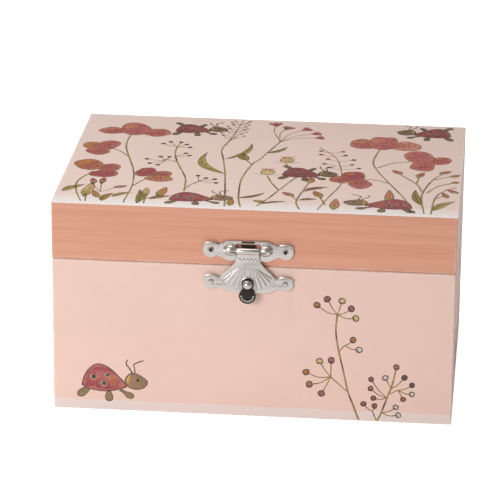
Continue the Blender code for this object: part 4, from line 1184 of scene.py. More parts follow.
LID_BUDS = (
    (-75, -35, 2.2, 15, "rose", 1.4), (-71, -34, 2.2, 0, "rose", 1.5), (-62, -41, 2.2, -60, "rose", 1.0),
    (-76, -48, 3.7, -4, "cream", 2.2), (-71.5, -53, 2.4, 16, "ochre", 1.6), (-50, -48, 2.6, 0, "cream", 1.9),
    (-43, -47, 3.2, -10, "ochre", 1.7), (-11, -57, 2.3, 0, "ochre", 1.7), (2, -54, 2.4, 70, "leaf", 1.0),
    (22, -23, 3.0, 0, "rose", 1.2), (14, -43, 2.6, 50, "rose", 1.2), (27, -42, 3.0, 26, "rose", 1.3),
    (35, -55, 3.2, 0, "petal", 1.9), (61, -7, 2.5, 46, "rose", 1.2), (71, -10, 2.5, -20, "rose", 1.3),
    (82, -5, 2.5, -46, "rose", 1.2), (87, -9, 2.3, -56, "petal", 1.2), (87.4, -18, 1.8, -70, "rose", 1.0),
    (87, -31, 2.2, 50, "rose", 1.4), (83.6, -37, 2.0, 20, "rose", 1.5), (58.6, -42, 3.0, 3, "petal", 2.4),
)
LID_FANS = ((0, 57, 3.4, 10), (6, 52, 3.2, -25), (15, 51, 3.0, -55), (20, 45, 2.8, -65), (22, 39, 2.6, -75))
LID_POPPIES = (
    ((-67, 34), (
        (-75.8, 39, 6.2, 5.4, 6, "petal"), (-56, 38, 6.6, 5.8, -8, "petal"),
        (-66, 42, 6.6, 9.0, 0, "petal"),
    )),
    ((-76, 14), (
        (-82, 15, 4.6, 5.6, 10, "ochre"), (-79, 8, 5.6, 5.0, 0, "petal"),
        (-75.4, 17, 5.2, 6.8, -10, "rose"),
    )),
    ((-76, -18), (
        (-72, -24, 6.6, 4.8, 0, "shell"), (-70.5, -15, 5.2, 5.0, -10, "rose"),
        (-80.6, -12, 6.6, 7.4, 0, "rust"),
    )),
    ((-51, -24), (
        (-46, -22, 4.4, 4.2, 0, "petal"), (-46.4, -28, 5.8, 4.6, -6, "ochre"),
        (-53, -20, 4.8, 6.0, 0, "shell"),
    )),
    ((40, -20), (
        (35.6, -20, 4.8, 5.0, 0, "petal"), (44.4, -25, 5.0, 6.0, 0, "rose"),
        (41.4, -14, 5.4, 6.2, 0, "shell"),
    )),
    ((52, 28), (
        (43.4, 32.4, 6.4, 7.2, 6, "petal"), (63, 31.5, 7.0, 6.2, -8, "pale"),
        (52.6, 34.5, 7.4, 9.4, 0, "petal"),
    )),
    ((70, 10), (
        (79.4, 12, 5.4, 5.4, 0, "petal"), (71.8, 3.6, 6.0, 6.6, 0, "petal"),
        (70, 15.5, 6.6, 7.8, 0, "rose"),
    )),
)
LID_BEETLES = (
    (-46, 38, 0.82, 1, 7, True, 0.6), (-38, -59, 0.95, 1, 6, False, 0.8), (9, -20, 0.84, 1, 3, True, 0.62),
    (83, 44, 0.86, -1, -5, True, 0.6), (69, -59, 1.03, -1, -6, False, 0.8),
)


def draw_meadow(sheet):
    """The lid's print: poppies, berry sprays, buds, leaves and five beetles."""
    for points in LID_STEMS:
        draw_stem(sheet, points, 0.8)
    for base, tip, width, curl, tone in LID_LEAVES:
        draw_leaf(sheet, base, tip, width, getattr(sheet.ink, tone), curl=curl)
    draw_sprig(sheet, [(28, -62), (32, -44), (36, -27), (35, -6), (31, 12), (23, 25)], 6.8, 2.6, 5, 0.5, 0.62)
    draw_sprig(sheet, [(-21, 22), (-19, 36), (-17.5, 48), (-16, 62)], 5.0, 5.0, 9, 0.34)
    for heart, lobes in LID_POPPIES:
        draw_poppy(sheet, lobes, heart)
    draw_spray(sheet, (-43, 18), (
        (-50, 22, "dark"), (-47, 25, "dark"), (-42, 25, "dark"), (-39, 22, "dark"), (-37, 18, "dark"),
    ), 0.85)
    draw_spray(sheet, (-43, 4), ((-38, 9, "dark"), (-36, 6, "red")), 0.8)
    draw_spray(sheet, (-46, -2), (
        (-55, -1, "dark"), (-53, -7, "dark"), (-49, 3, "dark"), (-45, 3, "dark"), (-49, -9, "dark"),
    ), 0.85)
    draw_spray(sheet, (-28, -29), (
        (-29, -22, "dark"), (-25, -25, "dark"), (-21, -26, "dark"), (-20, -31, "dark"),
    ), 0.85)
    draw_spray(sheet, (-70, -49), ((-75, -38, "red"), (-71, -37, "red"), (-64, -42, "red")), 0.7)
    for x, y, reach, tilt in LID_FANS:
        draw_stem(sheet, [(4, 31), ((4 + x) / 2 - 2, (31 + y) / 2 + 2), (x, y)], 0.5)
        draw_fan(sheet, x, y, reach, tilt)
    draw_thistle(sheet, 9.5, 5, 3.2)
    draw_thistle(sheet, 2, -13, 3.2)
    for x, y, reach, tilt, kind, tall in LID_BUDS:
        draw_bud(sheet, x, y, reach, tilt, kind, tall)
    for x, y, size, facing, tilt, seen_from_above, shade in LID_BEETLES:
        draw_beetle(sheet, x, y, size, facing, tilt, seen_from_above, shade)


def draw_front(sheet):
    """The case's front: one large beetle and two berry plants at the foot."""
    draw_beetle(sheet, -77, 8.6)
    draw_stem(
        sheet,
        [(48.6, 0.2), (45.5, 8.5), (43.4, 14), (41, 24.5), (39, 33), (37.6, 41), (37.5, 46.4), (38, 51)],
        0.85,
    )
    draw_spray(sheet, (38, 51), (
        (28.8, 55.2, "orange"), (33.4, 58.2, "red"), (39.9, 57.6, "ochre"), (44.1, 54.1, "pink"),
        (46.2, 49.6, "ochre"),
    ), 1.3)
    draw_stem(sheet, [(39.1, 33.4), (40.4, 35.2), (41.6, 36.4)], 0.5)
    draw_spray(sheet, (41.6, 36.4), ((45.2, 39.2, "orange"), (48.0, 34.6, "pale")), 1.25)
    draw_stem(sheet, [(43.4, 14), (39.4, 17.4), (35.5, 21)], 0.55)
    draw_spray(sheet, (35.5, 21), (
        (30.4, 28.4, "ochre"), (35.6, 29, "pink"), (24.4, 22.8, "orange"), (25.9, 17, "orange"),
        (31.4, 12.8, "pink"),
    ), 1.35)
    draw_stem(sheet, [(56.6, 0.2), (58.5, 4.6), (61, 12), (62.9, 17.4), (64, 22.4), (64.6, 26)], 0.8)
    draw_spray(sheet, (60.9, 12), ((53.6, 20.6, "red"), (53.5, 16.2, "orange"), (54.9, 11.6, "red")), 1.05)
    draw_spray(sheet, (62.9, 16.6), ((60, 21.6, "pale"), (64.8, 27, "orange"), (68.6, 22.1, "dark")), 1.15)
    draw_stem(sheet, [(62.4, 14), (64.4, 15.2), (66, 16)], 0.5)
    draw_spray(sheet, (66, 16), ((72, 18.6, "dark"), (72, 14.2, "pale"), (68.2, 11.6, "orange")), 1.05)
    draw_spray(sheet, (58.6, 4.6), ((65, 7.6, "pale"), (66.2, 3.8, "pale")), 1.1)
    draw_stem(sheet, [(56.6, 0.2), (55.6, 2.6), (54.6, 5)], 0.6)
    draw_spray(sheet, (54.6, 5), ((50.4, 8.6, "red"), (55.4, 7.8, "red")), 1.1)


def draw_side(sheet, mirror=1):
    """A side of the case: a beetle, two berry sprays and grasses."""
    draw_beetle(sheet, -24 * mirror, 9, 0.8, mirror)
    draw_stem(sheet, [(22 * mirror, 0.2), (23 * mirror, 12), (20 * mirror, 26), (22 * mirror, 40)], 0.8)
    draw_spray(sheet, (22 * mirror, 40), (
        (15 * mirror, 46, "orange"), (20 * mirror, 49, "pink"), (26 * mirror, 48, "ochre"),
        (30 * mirror, 43, "red"),
    ), 1.4)
    draw_spray(
        sheet, (21 * mirror, 20),
        ((28 * mirror, 28, "ochre"), (31 * mirror, 22, "orange"), (29 * mirror, 16, "pink")), 1.3,
    )
    draw_spray(sheet, (22 * mirror, 12), ((14 * mirror, 18, "red"), (13 * mirror, 12, "pale")), 1.2)
    draw_leaf(sheet, (23 * mirror, 5), (33 * mirror, 11), 4)
    draw_leaf(sheet, (22.5 * mirror, 8), (12 * mirror, 6), 3.4)
    draw_sprig(sheet, [(42 * mirror, 0.2), (44 * mirror, 12), (41 * mirror, 25)], 4, 6)
    draw_stem(sheet, [(-40 * mirror, 0.2), (-42 * mirror, 14), (-39 * mirror, 28)], 0.7)
    draw_spray(
        sheet, (-39 * mirror, 28),
        ((-45 * mirror, 33, "orange"), (-40 * mirror, 36, "dark"), (-34 * mirror, 33, "pink")), 1.3,
    )
    draw_leaf(sheet, (-41 * mirror, 9), (-50 * mirror, 15), 3.6)


class BOX_OT_print(bpy.types.Operator):
    """Print the flowers, berries and beetles on the lid's top and round the case."""
    bl_idname = "box.print"
    bl_label = "Print"

    def execute(self, context):
        top = Print("lid_top_print", (0, 0, LID_HIGH.z), RIGHT, -FRONT, (-89.3, -62.6), (89.3, 62.8))
        draw_meadow(top)
        top.finish("lid", "printed_paper")
        front = Print("case_front_print", (0, CASE_LOW.y, 0), RIGHT, UP, (-89.3, 0.6), (89.3, 71.4))
        draw_front(front)
        front.finish("case", "printed_paper")
        right = Print("case_right_print", (CASE_HIGH.x, 0, 0), -FRONT, UP, (-62.8, 0.6), (62.8, 71.4))
        draw_side(right)
        right.finish("case", "printed_paper")
        left = Print("case_left_print", (CASE_LOW.x, 0, 0), FRONT, UP, (-62.8, 0.6), (62.8, 71.4))
        draw_side(left, -1)
        left.finish("case", "printed_paper")
        back = Print("case_back_print", (0, CASE_HIGH.y, 0), -RIGHT, UP, (-89.3, 0.6), (89.3, 71.4))
        draw_beetle(back, 34, 8, 0.9, -1)
        draw_stem(back, [(-54, 0.2), (-52, 14), (-55, 28), (-53, 40)], 0.8)
        draw_spray(
            back, (-53, 40),
            ((-60, 45, "orange"), (-55, 48, "ochre"), (-49, 47, "pink"), (-45, 42, "red")), 1.4,
        )
        draw_spray(back, (-53, 20), ((-46, 27, "ochre"), (-43, 21, "orange"), (-60, 24, "pink")), 1.3)
        draw_leaf(back, (-53, 6), (-44, 12), 4)
        back.finish("case", "printed_paper")
        return {"FINISHED"}


# Boards wrapped in paper, and their flocked lining

def hollow_box(name, low, high, walls, floor, upwards=True):
    """A box with one open side: its top, or its underside if upwards is false."""
    shell = add_block(name, low, high)
    turn = 1 if upwards else -1
    with editing(shell) as bm:
        choose(bm, bm.faces, lambda face: face.normal.z * turn > 0.9)
        bpy.ops.mesh.inset(thickness=walls, depth=0)
        depth = (high[2] - low[2] - floor) * turn
        bpy.ops.mesh.extrude_region_move(TRANSFORM_OT_translate={"value": (0, 0, -depth)})
    return shell


class BOX_OT_case(bpy.types.Operator):
    """Wrap the case in pale pink paper that turns over its edges."""
    bl_idname = "box.case"
    bl_label = "Case"

    def execute(self, context):
        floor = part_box("base_panel")[1].z
        shell = hollow_box("case_shell", CASE_LOW, CASE_HIGH, WALL, floor)
        arbor_low, arbor_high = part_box("winding_arbor")
        axle = (arbor_low + arbor_high) / 2
        subtract(shell, add_bar("arbor_bore", (axle.x, 0.05, axle.z), (axle.x, 0.08, axle.z), 0.0024, 32))
        soften(shell, context.scene.box_paper.corner, 4)
        finish(
            shell, "case", case_paper(),
            stands_for=("front_panel", "back_panel", "left_panel", "right_panel", "base_panel"),
        )
        return {"FINISHED"}


class BOX_OT_lid(bpy.types.Operator):
    """Wrap the lid: printed top, pink sides and a terracotta front band."""
    bl_idname = "box.lid"
    bl_label = "Lid"

    def execute(self, context):
        radius = context.scene.box_paper.corner
        board = LID_HIGH.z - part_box("lid_top")[0].z
        edge = LID_HIGH.z - 0.9 * MM
        shell = hollow_box("lid_shell", LID_LOW, LID_HIGH, WALL, board, upwards=False)
        cutter = add_block(
            "band_room", (LID_LOW.x - 0.01, LID_LOW.y - 0.01, LID_LOW.z - 0.01),
            (LID_HIGH.x + 0.01, LID_LOW.y + WALL - 0.1 * MM, edge),
        )
        subtract(shell, cutter)
        soften(shell, radius * 0.6, 3)
        finish(
            shell, "lid", lid_paper(),
            stands_for=("lid_top", "lid_back_rail", "lid_left_rail", "lid_right_rail"),
        )
        band = add_block("lid_front_band", LID_LOW, (LID_HIGH.x, LID_LOW.y + WALL, edge - 0.02 * MM))
        soften(band, radius * 0.5, 3)
        finish(band, "lid", grain_paper(), stands_for=("lid_front_rail",))
        return {"FINISHED"}


def wall_lining(name, low, high, thickness):
    """A thin sleeve of flock round the inside of four walls."""
    sleeve = add_block(name, low, high)
    with editing(sleeve) as bm:
        choose(bm, bm.faces, lambda face: abs(face.normal.z) > 0.9)
        bpy.ops.mesh.delete(type="FACE")
        bpy.ops.mesh.select_all(action="SELECT")
        bpy.ops.mesh.flip_normals()
    return modify(sleeve, "SOLIDIFY", thickness=thickness, offset=1.0)


def crowned_pad(name, low, high, swell, cells=18):
    """A soft pad: flat beneath, crowned on top, with its sides drawn in between the corners."""
    low, high = Vector(low), Vector(high)
    size = high - low
    pad = add_block(name, low, high)
    with editing(pad):
        bpy.ops.mesh.select_all(action="SELECT")
        bpy.ops.mesh.subdivide(number_cuts=cells)
    middle = (low + high) / 2
    for corner in pad.data.vertices:
        across = 2 * (corner.co.x - middle.x) / size.x
        along = 2 * (corner.co.y - middle.y) / size.y
        share = (corner.co.z - low.z) / size.z
        inside = (1 - across ** 6) * (1 - along ** 6)
        ripple = noise.noise(corner.co * 60) * 0.12 + noise.noise(corner.co * 190) * 0.05
        corner.co.z = low.z + size.z * share * (1 - swell * (1 - inside) + ripple * inside - 0.12)
        pull = 0.4 * MM
        corner.co.x -= pull * across * (1 - along ** 2) * share
        corner.co.y -= pull * along * (1 - across ** 2) * share
    soften(pad, 0.5 * MM, 2, 50)
    return modify(pad, "SUBSURF", levels=1, render_levels=1)


class BOX_OT_lining(bpy.types.Operator):
    """Line the case and the lid with flock, and lay the pads and the ring rolls."""
    bl_idname = "box.lining"
    bl_label = "Lining and pads"

    def execute(self, context):
        thickness = 0.25 * MM
        low = (CASE_LOW.x + WALL, CASE_LOW.y + WALL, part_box("base_panel")[1].z + 0.01 * MM)
        high = (CASE_HIGH.x - WALL, CASE_HIGH.y - WALL, CASE_HIGH.z - 1.4 * MM)
        finish(wall_lining("case_lining", low, high, thickness), "case", flock())
        low = (LID_LOW.x + WALL, LID_LOW.y + WALL, LID_LOW.z + 1.4 * MM)
        high = (LID_HIGH.x - WALL, LID_HIGH.y - WALL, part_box("mirror_surround")[1].z)
        finish(wall_lining("lid_lining", low, high, thickness), "lid", flock())
        for node in (
            "long_divider", "tray_divider", "stage_left_divider", "stage_right_divider", "stage_top",
        ):
            repaint(node, flock())
        for node in ("tray_pad", "left_well_pad", "right_well_pad"):
            low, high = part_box(node)
            pad = crowned_pad(f"soft_{node}", low, high, 0.55)
            finish(pad, "case", flock(), 60, (node,))
        self.lay_ring_rolls()
        return {"FINISHED"}

    def lay_ring_rolls(self):
        """Six soft rolls, side by side on a base, pinched where they are tacked down."""
        low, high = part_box("ring_cushion")
        rolls = 6
        pitch = (high.y - low.y) / rolls
        roll_height = 5.0 * MM
        base = high.z - roll_height
        bed = add_block("ring_cushion_soft", low, (high.x, high.y, base))
        soften(bed, 0.6 * MM, 3)
        length = high.x - low.x

        def roll_point(down, across):
            angle = math.pi * (1 - down)
            along = 2 * across - 1
            end = max(0.0, 1 - abs(along) ** 14) ** 0.5
            crease = 1 - 0.06 * (0.5 + 0.5 * math.cos(10 * math.pi * across))
            puff = end * crease
            return (
                low.x + length * (0.5 + along * 0.5),
                pitch * 0.49 * math.cos(angle) * (0.8 + 0.2 * puff),
                roll_height * math.sin(angle) * puff * 0.99 - 0.3 * MM * (1 - math.sin(angle)),
            )

        made = grid_piece("ring_roll", 14, 60, roll_point)
        modify(made, "SOLIDIFY", thickness=0.6 * MM, offset=-1.0)
        parts = [bed]
        for number in range(rolls):
            middle = low.y + pitch * (number + 0.5)
            parts.append(copy_of(made, f"ring_roll_{number}", Matrix.Translation((0, middle, base))))
        bpy.data.objects.remove(made)
        cushion = merge("ring_cushion_soft", *parts)
        finish(cushion, "case", flock(), 60, ("ring_cushion",))


class BOX_OT_mirror(bpy.types.Operator):
    """Set the mirror in its padded surround, with a twisted braid round it."""
    bl_idname = "box.mirror"
    bl_label = "Mirror"

    def execute(self, context):
        repaint("mirror", silvered_glass())
        glass_low, glass_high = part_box("mirror")
        low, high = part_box("mirror_surround")
        gap = 0.4 * MM
        half = (glass_high - glass_low) / 2
        outer = (high - low) / 2
        thickness = high.z - low.z

        def surround_point(down, across):
            angle = 2 * math.pi * across
            square = max(abs(math.cos(angle)), abs(math.sin(angle)))
            direction = (math.cos(angle) / square, math.sin(angle) / square)
            share = 0.5 - 0.5 * math.cos(math.pi * down)
            reach_x = half.x + gap + (outer.x - half.x - gap) * share
            reach_y = half.y + gap + (outer.y - half.y - gap) * share
            crown = math.sin(math.pi * down) ** 0.5 if 0 < down < 1 else 0.0
            ripple = 0.06 * noise.noise(Vector((direction[0] * 9, direction[1] * 9, down * 2)))
            height = high.z - thickness * crown * (0.94 + ripple)
            return direction[0] * reach_x, direction[1] * reach_y, height

        surround = grid_piece("mirror_surround_soft", 16, 240, surround_point, closed=True)
        with editing(surround):
            bpy.ops.mesh.select_all(action="SELECT")
            bpy.ops.mesh.normals_make_consistent(inside=False)
        if sum(face.normal.z for face in surround.data.polygons) > 0:
            surround.data.flip_normals()
        finish(surround, "lid", flock(), 60, ("mirror_surround",))
        corner = 1.2 * MM
        path = []
        for centre_x, centre_y, start in (
            (half.x - corner, half.y - corner, 0), (corner - half.x, half.y - corner, 90),
            (corner - half.x, corner - half.y, 180), (half.x - corner, corner - half.y, 270),
        ):
            for step in range(7):
                angle = math.radians(start + 15 * step)
                path.append((
                    centre_x + (corner + 0.2 * MM) * math.cos(angle),
                    centre_y + (corner + 0.2 * MM) * math.sin(angle),
                    glass_low.z - 0.35 * MM,
                ))
        braid = sweep("mirror_braid", path, 0.55 * MM, 10, ends=False)
        finish(braid, "lid", satin_trim(), 80)
        return {"FINISHED"}


# Pressed nickel fittings

def node_copy(name, *nodes):
    """A merged copy of CAD nodes, ready to be shaped."""
    parts = [copy_of(frame["nodes"][node], f"{name}_{number}") for number, node in enumerate(nodes)]
    for part in parts:
        part.hide_render = part.hide_viewport = False
        part.parent = None
        for key in list(part.keys()):
            if key.startswith("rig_"):
                del part[key]
    made = parts[0] if len(parts) == 1 else merge(name, *parts)
    made.name = name
    modify(made, "WELD", merge_threshold=0.000002)
    activate(made)
    bpy.ops.object.mode_set(mode="EDIT")
    bpy.ops.mesh.select_all(action="SELECT")
    bpy.ops.mesh.dissolve_limited(angle_limit=math.radians(0.5))
    bpy.ops.object.mode_set(mode="OBJECT")
    return made


def catch_spot(across, up, out=0.0):
    """A point on the hasp's face, in millimetres from the middle of its pin."""
    return Vector((CATCH_X, HASP_FACE, PIN_CENTRE.z)) + Vector((across, -out, up)) * MM


HASP_FACE = PIN_CENTRE.y + 0.1 * MM


def ridge(name, start, end, radius, end_radius=None):
    """A raised line of the pressed pattern, half sunk in the hasp's face."""
    return add_bar(name, catch_spot(*start), catch_spot(*end), radius, 8, end_radius)


HASP_RIM = (
    (12.3, -14.0), (11.7, -15.7), (9.8, -17.2), (6.6, -18.4), (3.2, -19.0), (0.0, -19.1), (-3.2, -19.0),
    (-6.6, -18.4),
    (-9.8, -17.2), (-11.7, -15.7), (-12.3, -14.0),
)
FLUTE_ENDS = ((10.4, -12.9), (10.0, -14.7), (8.2, -16.2), (6.1, -17.2), (3.8, -17.7), (1.1, -12.0))


TAB_UP = -20.6
HOLE_UP = ((STRIKE_LOW.z + STRIKE_HIGH.z) / 2 - PIN_CENTRE.z) / MM
WHOLE_TURN = range(0, 360, 15)


def catch_arc(radius, up, degrees, *out):
    """Spots on a circle whose middle is straight above or below the pin, in millimetres."""
    return [
        catch_spot(radius * math.cos(math.radians(angle)), up + radius * math.sin(math.radians(angle)), *out)
        for angle in degrees
    ]


class BOX_OT_catch(bpy.types.Operator):
    """Make the shell-shaped catch: plates with rolled lips, the pressed hasp and its stud."""
    bl_idname = "box.catch"
    bl_label = "Catch"

    def execute(self, context):
        relief = context.scene.box_metal.emboss
        for part, word, body in (("catch", "upper", "lid"), ("strike", "lower", "case")):
            node = f"{part}_plate"
            plate = node_copy(f"{node}_pressed", node)
            soften(plate, 0.14 * MM, 2)
            plate = merge(f"{node}_pressed", plate, *self.lips(word, part))
            finish(plate, body, nickel(), stands_for=(node,))
        hasp = node_copy("hasp_pressed", "hasp")
        soften(hasp, 0.16 * MM, 2)
        hasp = merge("hasp_pressed", hasp, *self.pattern(relief))
        finish(hasp, "hasp", nickel(), stands_for=("hasp",))
        self.paint_catch_shade()
        return {"FINISHED"}

    def lips(self, word, part):
        """The plate's edge rolled over above each ear."""
        made = []
        for side in ("left", "right"):
            low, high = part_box(f"{part}_nail_{side}")
            middle = (low + high) / 2
            points = [
                (middle.x + across * MM, STRIKE_LOW.y - out * MM, middle.z + up * MM)
                for across, up, out in (
                    (-2.9, 2.3, 0.2), (-2.4, 3.1, 0.5), (-1.2, 3.5, 0.7), (0.4, 3.7, 0.75),
                    (1.6, 3.4, 0.7), (2.7, 2.6, 0.4),
                    (3.2, 2.1, 0.1),
                )
            ]
            made.append(sweep(f"{word}_{side}_lip", points, 0.42 * MM, 10))
        return made

    def pattern(self, relief):
        """Chevrons, dots, flutes that fan out to a beaded rim, and the bead round the stud's hole."""
        made = []
        for number in range(5):
            across = 1.75 * (number - 2)
            made.append(
                ridge(
                    f"chevron_{number}_a", (across - 0.5, -3.5), (across + 0.45, -4.3), relief,
                    relief * 0.6,
                ),
            )
            made.append(
                ridge(
                    f"chevron_{number}_b", (across + 0.45, -4.3), (across - 0.3, -5.0), relief,
                    relief * 0.6,
                ),
            )
        for number in range(4):
            made.append(
                add_ball(f"dot_{number}", catch_spot(1.6 * (number - 1.5), -6.2), (0.32 * MM,) * 3, 8, 6),
            )
        for side in (-1, 1):
            for number, (across, up) in enumerate(FLUTE_ENDS):
                start = (side * across * 0.42, -7.2 - 0.1 * number - 0.1 * abs(across))
                made.append(
                    ridge(f"flute_{side}_{number}", start, (side * across, up), relief * 0.5, relief * 1.35),
                )
        rim = smooth_path(
            [(across * 0.94, up + (0.7 if abs(across) < 11 else 0.2)) for across, up in HASP_RIM], 3,
        )
        for number, point in enumerate(rim):
            if abs(point[0]) > 3.3 or point[1] > -17:
                made.append(add_ball(f"bead_{number}", catch_spot(point[0], point[1]), (0.3 * MM,) * 3, 8, 6))
        made.append(sweep("hole_bead", catch_arc(2.95, HOLE_UP, WHOLE_TURN), 0.26 * MM, 8, ends=False))
        for number, place in enumerate(catch_arc(2.7, TAB_UP, range(186, 375, 21), 1.5)):
            made.append(add_ball(f"tab_flute_{number}", place, (0.46 * MM, 0.34 * MM, 0.46 * MM), 12, 8))
        return made

    def paint_catch_shade(self):
        """Painted shade: near-black pieces in the thumb tab's cup, beside the chevrons and flutes, round the
        stud's hole, in the barrels' slots and nail hollows, under the pin, along the plate's top edge and in the
        windows over the pin.
        """
        # Painted shade and dark reflection: a near-black disc in the thumb tab's cup, with a dark ring at its
        # edge.
        cup = add_bar("thumb_tab_cup", catch_spot(0, TAB_UP, 0.1), catch_spot(0, TAB_UP, 1.4), 3.66 * MM, 32)
        soften(cup, 0.2 * MM, 2)
        lines = [cup, sweep("tab_edge", catch_arc(3.5, TAB_UP, range(160, 381, 10), 1.4), 0.28 * MM, 8)]
        # Painted shade: a dark ring in the gap round the stud's hole.
        ring = catch_arc(2.42, HOLE_UP - 0.3, WHOLE_TURN, 0.1)
        lines.append(sweep("hole_edge", ring, 0.3 * MM, 8, ends=False))
        # Painted shade: dark lines beside the chevrons' ridges.
        for number in range(5):
            across = 1.75 * (number - 2) + 0.35
            lines.append(
                ridge(
                    f"chevron_line_{number}", (across - 0.6, -3.4), (across + 0.5, -4.7), 0.15 * MM,
                    0.1 * MM,
                ),
            )
        # Painted shade: dark lines beside the flutes' ridges.
        for side in (-1, 1):
            for number, (across, up) in enumerate(FLUTE_ENDS):
                start = (side * (across * 0.42 + 0.3), -7.4 - 0.1 * abs(across))
                end = (side * (across + 0.45), up + 0.45)
                lines.append(ridge(f"flute_line_{side}_{number}", start, end, 0.05 * MM, 0.08 * MM))
        merged = merge("hasp_painted_shade_lines", *lines)
        finish(merged, "hasp", painted_shade_metal())
        # Painted shade: dark pieces in the barrels' slots, in the upper nails' hollows and under the pin.
        slots = []
        for side in (-1, 1):
            slots.append(add_bar(
                f"barrel_slot_{side}", catch_spot(side * 5.8, -0.4, 1.15),
                catch_spot(side * 8.3, -0.4, 1.25), 0.3 * MM, 10
            ))
            low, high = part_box("catch_nail_left" if side < 0 else "catch_nail_right")
            nail = (low + high) / 2
            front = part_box("catch_nail_left")[0].y
            slots.append(
                add_bar(
                    f"nail_hollow_{side}", (nail.x, front + 0.3 * MM, nail.z),
                    (nail.x, front - 0.05 * MM, nail.z), 0.8 * MM, 14,
                ),
            )
        slots.append(
            add_bar("pin_shadow", catch_spot(-4.9, -1.15, 0.9), catch_spot(4.9, -1.15, 0.9), 0.13 * MM, 8),
        )
        # Painted shade: a dark strip along the middle of the plate's top edge.
        slots.append(add_block(
            "edge_shade_strip", (CATCH_X - 2.9 * MM, STRIKE_LOW.y - 0.08 * MM, PLATE_HIGH.z - 0.95 * MM),
            (CATCH_X + 2.9 * MM, STRIKE_LOW.y + 0.2 * MM, PLATE_HIGH.z - 0.1 * MM),
        ))
        # Painted shade: a dark block in the window above the pin.
        slots.append(add_block(
            "catch_window", (CATCH_X - 3.2 * MM, STRIKE_LOW.y + 0.3 * MM, PLATE_HIGH.z - 3.2 * MM),
            (CATCH_X + 3.2 * MM, STRIKE_HIGH.y - 0.1 * MM, PLATE_HIGH.z - 1.9 * MM),
        ))
        recesses = merge("catch_painted_shade", *slots)
        finish(recesses, "lid", painted_shade_metal())


class BOX_OT_hinges(bpy.types.Operator):
    """Make the two stop hinges with their tacks, and the winding key."""
    bl_idname = "box.hinges"
    bl_label = "Hinges and key"

    def execute(self, context):
        for word in ("left", "right"):
            for part, body in (("case", "case"), ("lid", "lid")):
                node = f"{part}_leaf_{word}"
                leaf = node_copy(f"{node}_pressed", node)
                soften(leaf, 0.12 * MM, 2)
                low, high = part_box(node)
                far = low.z if part == "case" else high.z
                turn = 1 if part == "case" else -1
                plate_back = CASE_HIGH.y + 1.1 * MM
                tacks = [
                    add_ball(
                        f"{node}_tack_{number}",
                        ((low.x + high.x) / 2 + side * 7.4 * MM, plate_back, far + turn * up * MM),
                        (1.3 * MM, 0.55 * MM, 1.3 * MM), 16, 10,
                    )
                    for number, (side, up) in enumerate(((-1, 2.4), (1, 2.4), (-1, 7.6), (1, 7.6)))
                ]
                leaf = merge(f"{node}_pressed", leaf, *tacks)
                finish(leaf, body, nickel(), stands_for=(node,))
            repaint(f"hinge_pin_{word}", nickel())
        key = node_copy("winding_key_cast", "winding_key")
        soften(key, 0.3 * MM, 3)
        finish(key, "drive", nickel(), stands_for=("winding_key",))
        return {"FINISHED"}


class BOX_OT_movement(bpy.types.Operator):
    """Finish the musical movement's plates, wheels, comb and screws."""
    bl_idname = "box.movement"
    bl_label = "Movement"

    def execute(self, context):
        looks = {"brass": brass, "steel": steel, "white_plastic": white_plastic, "nickel": nickel}
        for node in frame["nodes"].values():
            for place in node.material_slots:
                if place.material.name in looks:
                    place.material = looks[place.material.name]()
        return {"FINISHED"}


# The dancer

def doll_part(name, material, *parts, voxel=0.24, smoothing=6):
    """Joins rough limbs into one smooth moulded form, then leans it under the lid."""
    made = merge(name, *parts)
    modify(made, "REMESH", mode="VOXEL", voxel_size=voxel * MM)
    modify(made, "SMOOTH", factor=0.5, iterations=smoothing)
    made.data.transform(LEANING)
    return finish(made, "ballerina", material, angle=60)


def limb(name, start, end, radius, end_radius):
    """A tapered limb with rounded ends, in millimetres above the stand."""
    bar = add_bar(name, Vector(start) * MM, Vector(end) * MM, radius * MM, 20, end_radius * MM)
    knob = add_ball(f"{name}_start", Vector(start) * MM, (radius * MM,) * 3, 20, 12)
    other = add_ball(f"{name}_end", Vector(end) * MM, (end_radius * MM,) * 3, 20, 12)
    return [bar, knob, other]


def lump(name, centre, radii):
    return add_ball(name, Vector(centre) * MM, Vector(radii) * MM, 24, 16)


